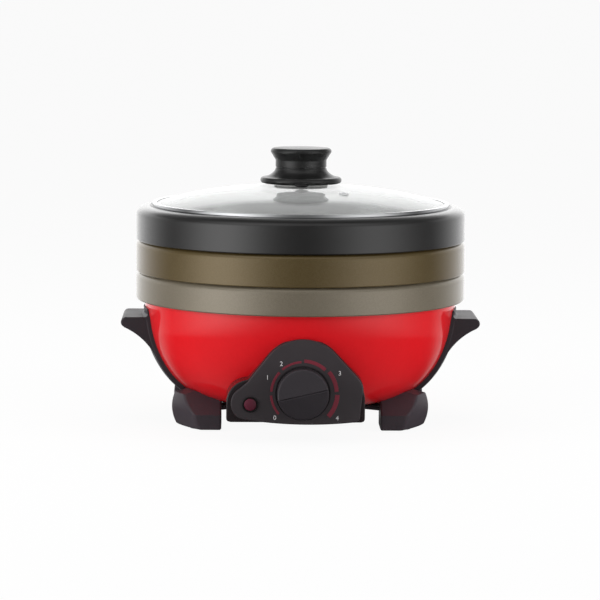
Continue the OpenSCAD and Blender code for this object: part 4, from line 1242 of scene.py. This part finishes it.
@dataclass
class Lid:
    """Glass dome in a steel rim, with a two-part knob on a pale collar."""

    body: str = "glass_lid"
    rim_r: float = 133.0
    rim_z: float = 190.7
    rim_top: float = 195.9
    rim_edge: float = 0.6
    rim_t: float = 0.9
    rim_roll: float = 1.6
    rim_break: float = 0.3
    channel_r: float = 129.0
    glass_r: float = 132.0
    glass_edge_z: float = 191.8
    glass_t: float = 3.4
    # how far the ground edge of the glass is drawn in, and its corners are broken
    glass_break: Spot = (0.1, 0.6, 0.5)
    dome_h: float = 16.0
    dome_power: float = 2.5
    crown_z: float = 211.1
    hole_r: float = 4.0
    split_z: float = 227.3
    groove: float = 0.6
    groove_edge: Point = (0.1, 0.3)
    waist_r: float = 22.9
    neck_z: float = 233.5
    neck_bend: float = 1.6
    lip_r: float = 27.3
    lip_z: float = 241.5
    lip_bend: float = 1.3
    top_z: float = 244.7
    top_edge: float = 3.2
    top_r: float = 24.57
    crown: float = 0.6
    foot_r: float = 36.5
    foot_t: float = 5.5
    foot_z: float = 213.2
    gasket_r: float = 23.8
    gasket_edge: float = 0.5
    flank_power: float = 1.6
    # half sizes of the nib under the foot's front edge, and its middle's height over the foot's underside
    nib: Spot = (6.2, 2.6, 2.0)
    nib_z: float = 0.3

    def dome_z(self, r: float, below: float = 0.0) -> float:
        """Height of the dome's outer face, or of one below it."""
        return self.crown_z - below - self.dome_h * (r / self.channel_r) ** self.dome_power

    def glass(self) -> None:
        """The dome, ground flat at its edge, with a hole for the knob's screw."""
        run, r = spaced(self.hole_r, self.channel_r, 48), self.glass_r
        low, high = self.glass_edge_z, self.glass_edge_z + self.glass_t
        back, broken, foot = self.glass_break
        edge = [(r - broken, high - FIT), (r - back, high - broken), (r - back, low + foot),
                (r - broken, low)]
        profile = ([(x, self.dome_z(x)) for x in run] + edge
                   + [(x, max(low, self.dome_z(x, self.glass_t))) for x in reversed(run)])
        dress(lathe("glass_dome_clear", profile), GLASS, self.body, "glass_dome")

    def rim(self) -> None:
        """The rolled steel channel round the glass."""
        r, low, top, edge, roll = self.rim_r, self.rim_z, self.rim_top, self.rim_edge, self.rim_roll
        step, floor = self.rim_break, low + self.rim_t
        inner, bore = self.channel_r + FIT, self.glass_r + FIT
        profile = ([(inner, low)] + arc((r - roll, low + roll), roll, -90, 0, 8)
                   + arc((r - edge, top - edge), edge, 0, 90, 8)
                   + [(inner + step, top), (inner, top - step), (inner, top - 2 * step),
                      (bore, top - 2 * step), (bore, floor), (inner, floor)])
        dress(lathe("lid_rim_rolled", profile), POLISHED_STEEL, self.body, "lid_rim")

    def grip(self) -> None:
        """The knob's grip, over a fine groove."""
        g, split, waist, edge = self.groove, self.split_z, self.waist_r, self.top_edge
        step, rise = self.groove_edge
        top = [(self.top_r * t, self.top_z + self.crown * (1 - t ** 2)) for t in spaced(1, 0, 6)[1:]]
        profile = ([(0, split + FIT), (waist - g, split + FIT), (waist - g, split + g / 2),
                    (waist - step, split + g), (waist, split + g + rise)]
                   + arc((waist + self.neck_bend, self.neck_z), self.neck_bend, 180, 150, 4)
                   + arc((self.lip_r - self.lip_bend, self.lip_z), self.lip_bend, -30, 0, 5)
                   + arc((self.lip_r - edge, self.top_z - edge), edge, 0, 84, 10) + top)
        dress(lathe("knob_grip_moulding", profile), KNOB_PHENOLIC, self.body, "knob_grip")

    def knob_base(self) -> None:
        """The knob's flared base under the groove; nothing mirrors it."""
        g, split, waist, half = self.groove, self.split_z, self.waist_r, self.foot_t / 2
        step, rise = self.groove_edge
        lean, neck, power = self.foot_r - half, split - g - rise, 2 / self.flank_power
        drop = neck - self.foot_z - self.foot_t
        flank = [(lean - (lean - waist) * math.cos(a) ** power, neck - drop * math.sin(a) ** power)
                 for a in spaced(0, QUARTER, 24)[:-1]]
        profile = ([(lean, self.foot_z), (0, self.foot_z), (0, split), (waist - g, split),
                    (waist - g, split - g / 2), (waist - step, split - g)]
                   + flank + arc((lean, self.foot_z + half), half, 90, -90, 18))
        base = lathe("knob_base_moulding", profile)
        base.visible_glossy = False
        dress(base, KNOB_PHENOLIC, self.body, "knob_base")

    def foot_nib(self) -> None:
        """The small round nib under the front edge of the knob's foot."""
        wide, deep, high = self.nib
        middle = (0.0, self.foot_t / 2 - self.foot_r)
        rings = []
        for a in spaced(-QUARTER, QUARTER, 12)[1:-1]:
            z = self.foot_z + self.nib_z + high * math.sin(a)
            line = oval(middle, wide * math.cos(a), deep * math.cos(a), 0, 345, 23)
            rings.append([(x, y, z) for x, y in line])
        dress(loft("knob_base_nib", rings), KNOB_PHENOLIC, self.body)

    def gasket(self) -> None:
        """The pale collar between the knob's foot and the glass."""
        r, top, edge = self.gasket_r, self.foot_z - FIT, self.gasket_edge
        profile = ([(x, self.dome_z(x) + FIT) for x in spaced(self.hole_r, r, 10)]
                   + arc((r - edge, top - edge), edge, 0, 90, 5) + [(self.hole_r, top)])
        dress(lathe("knob_gasket_collar", profile), SILICONE, self.body, "knob_gasket")

    def build(self) -> None:
        """Makes every piece of the lid."""
        for make in (self.glass, self.rim, self.grip, self.knob_base, self.foot_nib, self.gasket):
            make()


def dress_cad_nodes() -> None:
    """Gives each CAD node that still shows the finish of its material slot."""
    slots = {part["node"]: part["material_slot"] for part in frame["record"]["subparts"]}
    for name, node in frame["nodes"].items():
        if node.hide_render:
            continue
        finish = NODE_FINISHES.get(name, SLOT_FINISHES[slots[name]])
        node.data.materials.clear()
        node.data.materials.append(finish.material())
        LOG.info("%s: %s, as packed", name, finish.name)


# ---- floor, light and camera

@dataclass
class Studio:
    """Pale floor, soft lamps, white surround and the camera; the floor and lamps are in metres."""

    floor_r: float = 60.0
    floor_drop: float = 0.0002
    floor_grey: str = "#dcdcdc"
    floor_pale: str = "#f9f9f9"
    floor_white: float = 0.93
    # span in metres over which the floor's painted gleam rises from painted shadow near the object to full
    floor_near: Point = (0.33, 0.37)
    floor_side: Point = (0.0, 0.35)
    floor_gleam: float = 0.75
    surround: float = 0.36
    front_shade: float = 0.12
    back_span: Point = (0.15, 1.0)
    back_white: float = 1.2
    above_shade: float = 0.22
    above_span: Point = (0.39, 0.47)
    # direction and strength of each tall white screen that only reflections show: left, right and behind
    screens: tuple[tuple[Spot, float], ...] = (
        ((-0.809, -0.588, 0.0), 1.4), ((0.755, -0.656, 0.0), 0.85), ((0.0, 0.954, 0.3), 0.45))
    # the same for the two that hang high in front
    high_screens: tuple[tuple[Spot, float], ...] = (((-0.5, -0.4, 0.768), 0.9), ((0.5, -0.4, 0.768), 0.65))
    screen_power: float = 9.0
    target: Spot = (0.0, 3.75, 107.27)
    distance: float = 2500.0
    azimuth: float = -1.26
    elevation: float = 6.709
    roll: float = 0.45
    focal_px: float = 2770.7
    image_px: float = 600.0
    sensor: float = 36.0
    clip_end: float = 200.0
    # name, place, size and power in watts of each softbox, aimed at the pot
    lamps: tuple[tuple[str, Spot, Point, float], ...] = (
        ("left_softbox", (-1.6, -0.62, 0.45), (0.7, 0.9), 21.4),
        ("right_softbox", (1.6, -0.62, 0.45), (0.7, 0.9), 17.6),
        ("top_softbox", (0.0, 0.1, 1.6), (1.2, 1.0), 9.0))

    def by_ray(self, tree: Tree, plain: Socket, mirrored: Socket, straight: Socket) -> Socket:
        """Picks a shader by the ray that meets it.

        Args:
            tree: the nodes to add to.
            plain: what lights the object.
            mirrored: what its gloss shows.
            straight: what the camera sees, also through glass.

        Returns:
            The picked shader.
        """
        rays = put(tree, "LightPath")
        soft = put(tree, "MixShader", (rays["Is Glossy Ray"], plain, mirrored))[0]
        direct = put(tree, "Math", (rays["Is Camera Ray"], rays["Is Transmission Ray"]),
                     operation="MAXIMUM")[0]
        return put(tree, "MixShader", (direct, soft, straight))[0]

    def screened(self, tree: Tree, way: Socket, light: Socket,
                 screens: Iterable[tuple[Spot, float]]) -> Socket:
        """Adds soft screens to a brightness.

        Args:
            tree: the nodes to add to.
            way: the direction, as a unit vector.
            light: the brightness so far.
            screens: direction and strength of each.

        Returns:
            The brightness with them.
        """
        for side, strength in screens:
            along = put(tree, "VectorMath", (way, side), operation="DOT_PRODUCT")["Value"]
            ahead = put(tree, "Math", (along, 0.0), operation="MAXIMUM")[0]
            edge = put(tree, "Math", (ahead, self.screen_power), operation="POWER")[0]
            light = put(tree, "Math", (edge, strength, light), operation="MULTIPLY_ADD")[0]
        return light

    def facing(self, tree: Tree, way: Socket) -> Socket:
        """How bright reflections see the studio along a direction.

        It is dark towards the front and dim above, white behind, with a tall screen on each side.

        Args:
            tree: the nodes to add to.
            way: the direction, as a unit vector.

        Returns:
            A strength, 1 for white.
        """
        parts = put(tree, "SeparateXYZ", (way,))
        light = put(tree, "MapRange", (parts[1], *self.back_span, self.front_shade, self.back_white))[0]
        light = self.screened(tree, way, light, self.screens)
        above = put(tree, "MapRange", (parts[2], *self.above_span, 1.0, self.above_shade))[0]
        light = put(tree, "Math", (light, above), operation="MULTIPLY")[0]
        return self.screened(tree, way, light, self.high_screens)

    def floor_paper(self) -> bpy.types.Material:
        """Matt paper: near-white with the object's shadow to the camera; to glossy surfaces a glowing
        painted reflection, with painted shadow near the object.

        Returns:
            The floor's material.
        """
        made = bpy.data.materials.new("matt_floor_paper")
        tree = emptied(made)
        paper = put(tree, "BsdfDiffuse", (linear(self.floor_grey),))[0]
        pale = put(tree, "BsdfDiffuse", (linear(self.floor_pale),))[0]
        glow = put(tree, "Emission", {"Color": WHITE, "Strength": 1.0})[0]
        lit = put(tree, "MixShader", (self.floor_white, pale, glow))[0]
        spot = put(tree, "TexCoord")["Object"]
        away = put(tree, "VectorMath", (spot,), operation="LENGTH")["Value"]
        way = put(tree, "VectorMath", (spot,), operation="NORMALIZE")[0]
        # painted shadow: the gleam that reflections see is dimmed near the object, where the object would
        # shade the floor
        near = put(tree, "MapRange", (away, *self.floor_near, self.front_shade, 1.0))[0]
        behind = put(tree, "SeparateXYZ", (way,))[1]
        side = put(tree, "MapRange", (behind, *self.floor_side, 0.0, self.floor_gleam))[0]
        bare = put(tree, "Math", (near, side), operation="MAXIMUM")[0]
        gleam = put(tree, "Math", (bare, self.facing(tree, way)), operation="MULTIPLY")[0]
        sheen = put(tree, "Emission", {"Color": WHITE, "Strength": gleam})[0]
        put(tree, "OutputMaterial", (self.by_ray(tree, paper, sheen, lit),))
        return made

    def floor(self) -> None:
        """A wide pale disc."""
        bm = bmesh.new()
        bmesh.ops.create_circle(bm, cap_ends=True, radius=self.floor_r, segments=64)
        mesh = bpy.data.meshes.new("floor")
        bm.to_mesh(mesh)
        bm.free()
        floor = bpy.data.objects.new("floor", mesh)
        floor.location.z = -self.floor_drop
        bpy.context.scene.collection.objects.link(floor)
        mesh.materials.append(self.floor_paper())

    def world(self) -> None:
        """White all round to the camera and through glass; reflections see it darker towards the front."""
        world = bpy.data.worlds.new("studio")
        bpy.context.scene.world = world
        tree = emptied(world)
        bright = self.facing(tree, put(tree, "TexCoord")["Generated"])
        mirrored, ambient, white = (put(tree, "Background", {"Color": WHITE, "Strength": strength})[0]
                                    for strength in (bright, self.surround, 1.0))
        put(tree, "OutputWorld", (self.by_ray(tree, ambient, mirrored, white),))

    def softboxes(self) -> None:
        """Large soft lamps aimed at the pot."""
        aim = Vector(self.target) * MM
        for name, place, size, power in self.lamps:
            light = bpy.data.lights.new(name, "AREA")
            light.shape, light.size, light.size_y, light.energy = "RECTANGLE", *size, power
            lamp = bpy.data.objects.new(name, light)
            lamp.location = place
            lamp.rotation_euler = (aim - Vector(place)).to_track_quat("-Z", "Y").to_euler()
            lamp.visible_camera = lamp.visible_glossy = False
            bpy.context.scene.collection.objects.link(lamp)

    def camera(self) -> None:
        """The camera at the photograph's angle."""
        az, el, tilt = (math.radians(a) for a in (self.azimuth, self.elevation, self.roll))
        back = Vector((math.sin(az) * math.cos(el), -math.cos(az) * math.cos(el), math.sin(el)))
        right = Vector((math.cos(az), math.sin(az), 0.0))
        up = back.cross(right)
        across = right * math.cos(tilt) + up * math.sin(tilt)
        upright = up * math.cos(tilt) - right * math.sin(tilt)
        data = bpy.data.cameras.new("camera")
        data.sensor_width, data.clip_end = self.sensor, self.clip_end
        data.lens = self.sensor * self.focal_px / self.image_px
        camera = bpy.data.objects.new("camera", data)
        camera.matrix_world = Matrix((across, upright, back)).transposed().to_4x4()
        camera.location = (Vector(self.target) + back * self.distance) * MM
        bpy.context.scene.collection.objects.link(camera)
        bpy.context.scene.camera = camera

    def build(self) -> None:
        """Sets the floor, the light and the camera."""
        for make in (self.floor, self.world, self.softboxes, self.camera):
            make()
        bpy.context.scene.view_settings.view_transform = "Standard"


# name, body, slot, finish, height of the band's lower edge, and height from there to the rim
POTS = (("grey_pot", "lower_pot", "champagne_coating", CHAMPAGNE_COAT, 109.8, 26.8),
        ("bronze_pot", "middle_pot", "bronze_coating", BRONZE_COAT, 134.4, 30.5),
        ("black_pot", "upper_pot", "black_coating", BLACK_COAT, 162.7, 30.3))


def main() -> None:
    """Builds the dressed multicooker and its studio."""
    logging.basicConfig(level=logging.INFO, format="%(name)s: %(message)s")
    makers: list[Callable[[], None]] = [
        HeatedBase().build, Handles().build, Legs().build, Controls().build,
        *(Pot(*pot).build for pot in POTS), Lid().build, dress_cad_nodes, Studio().build]
    for make in makers:
        make()


if __name__ == "__main__":
    main()
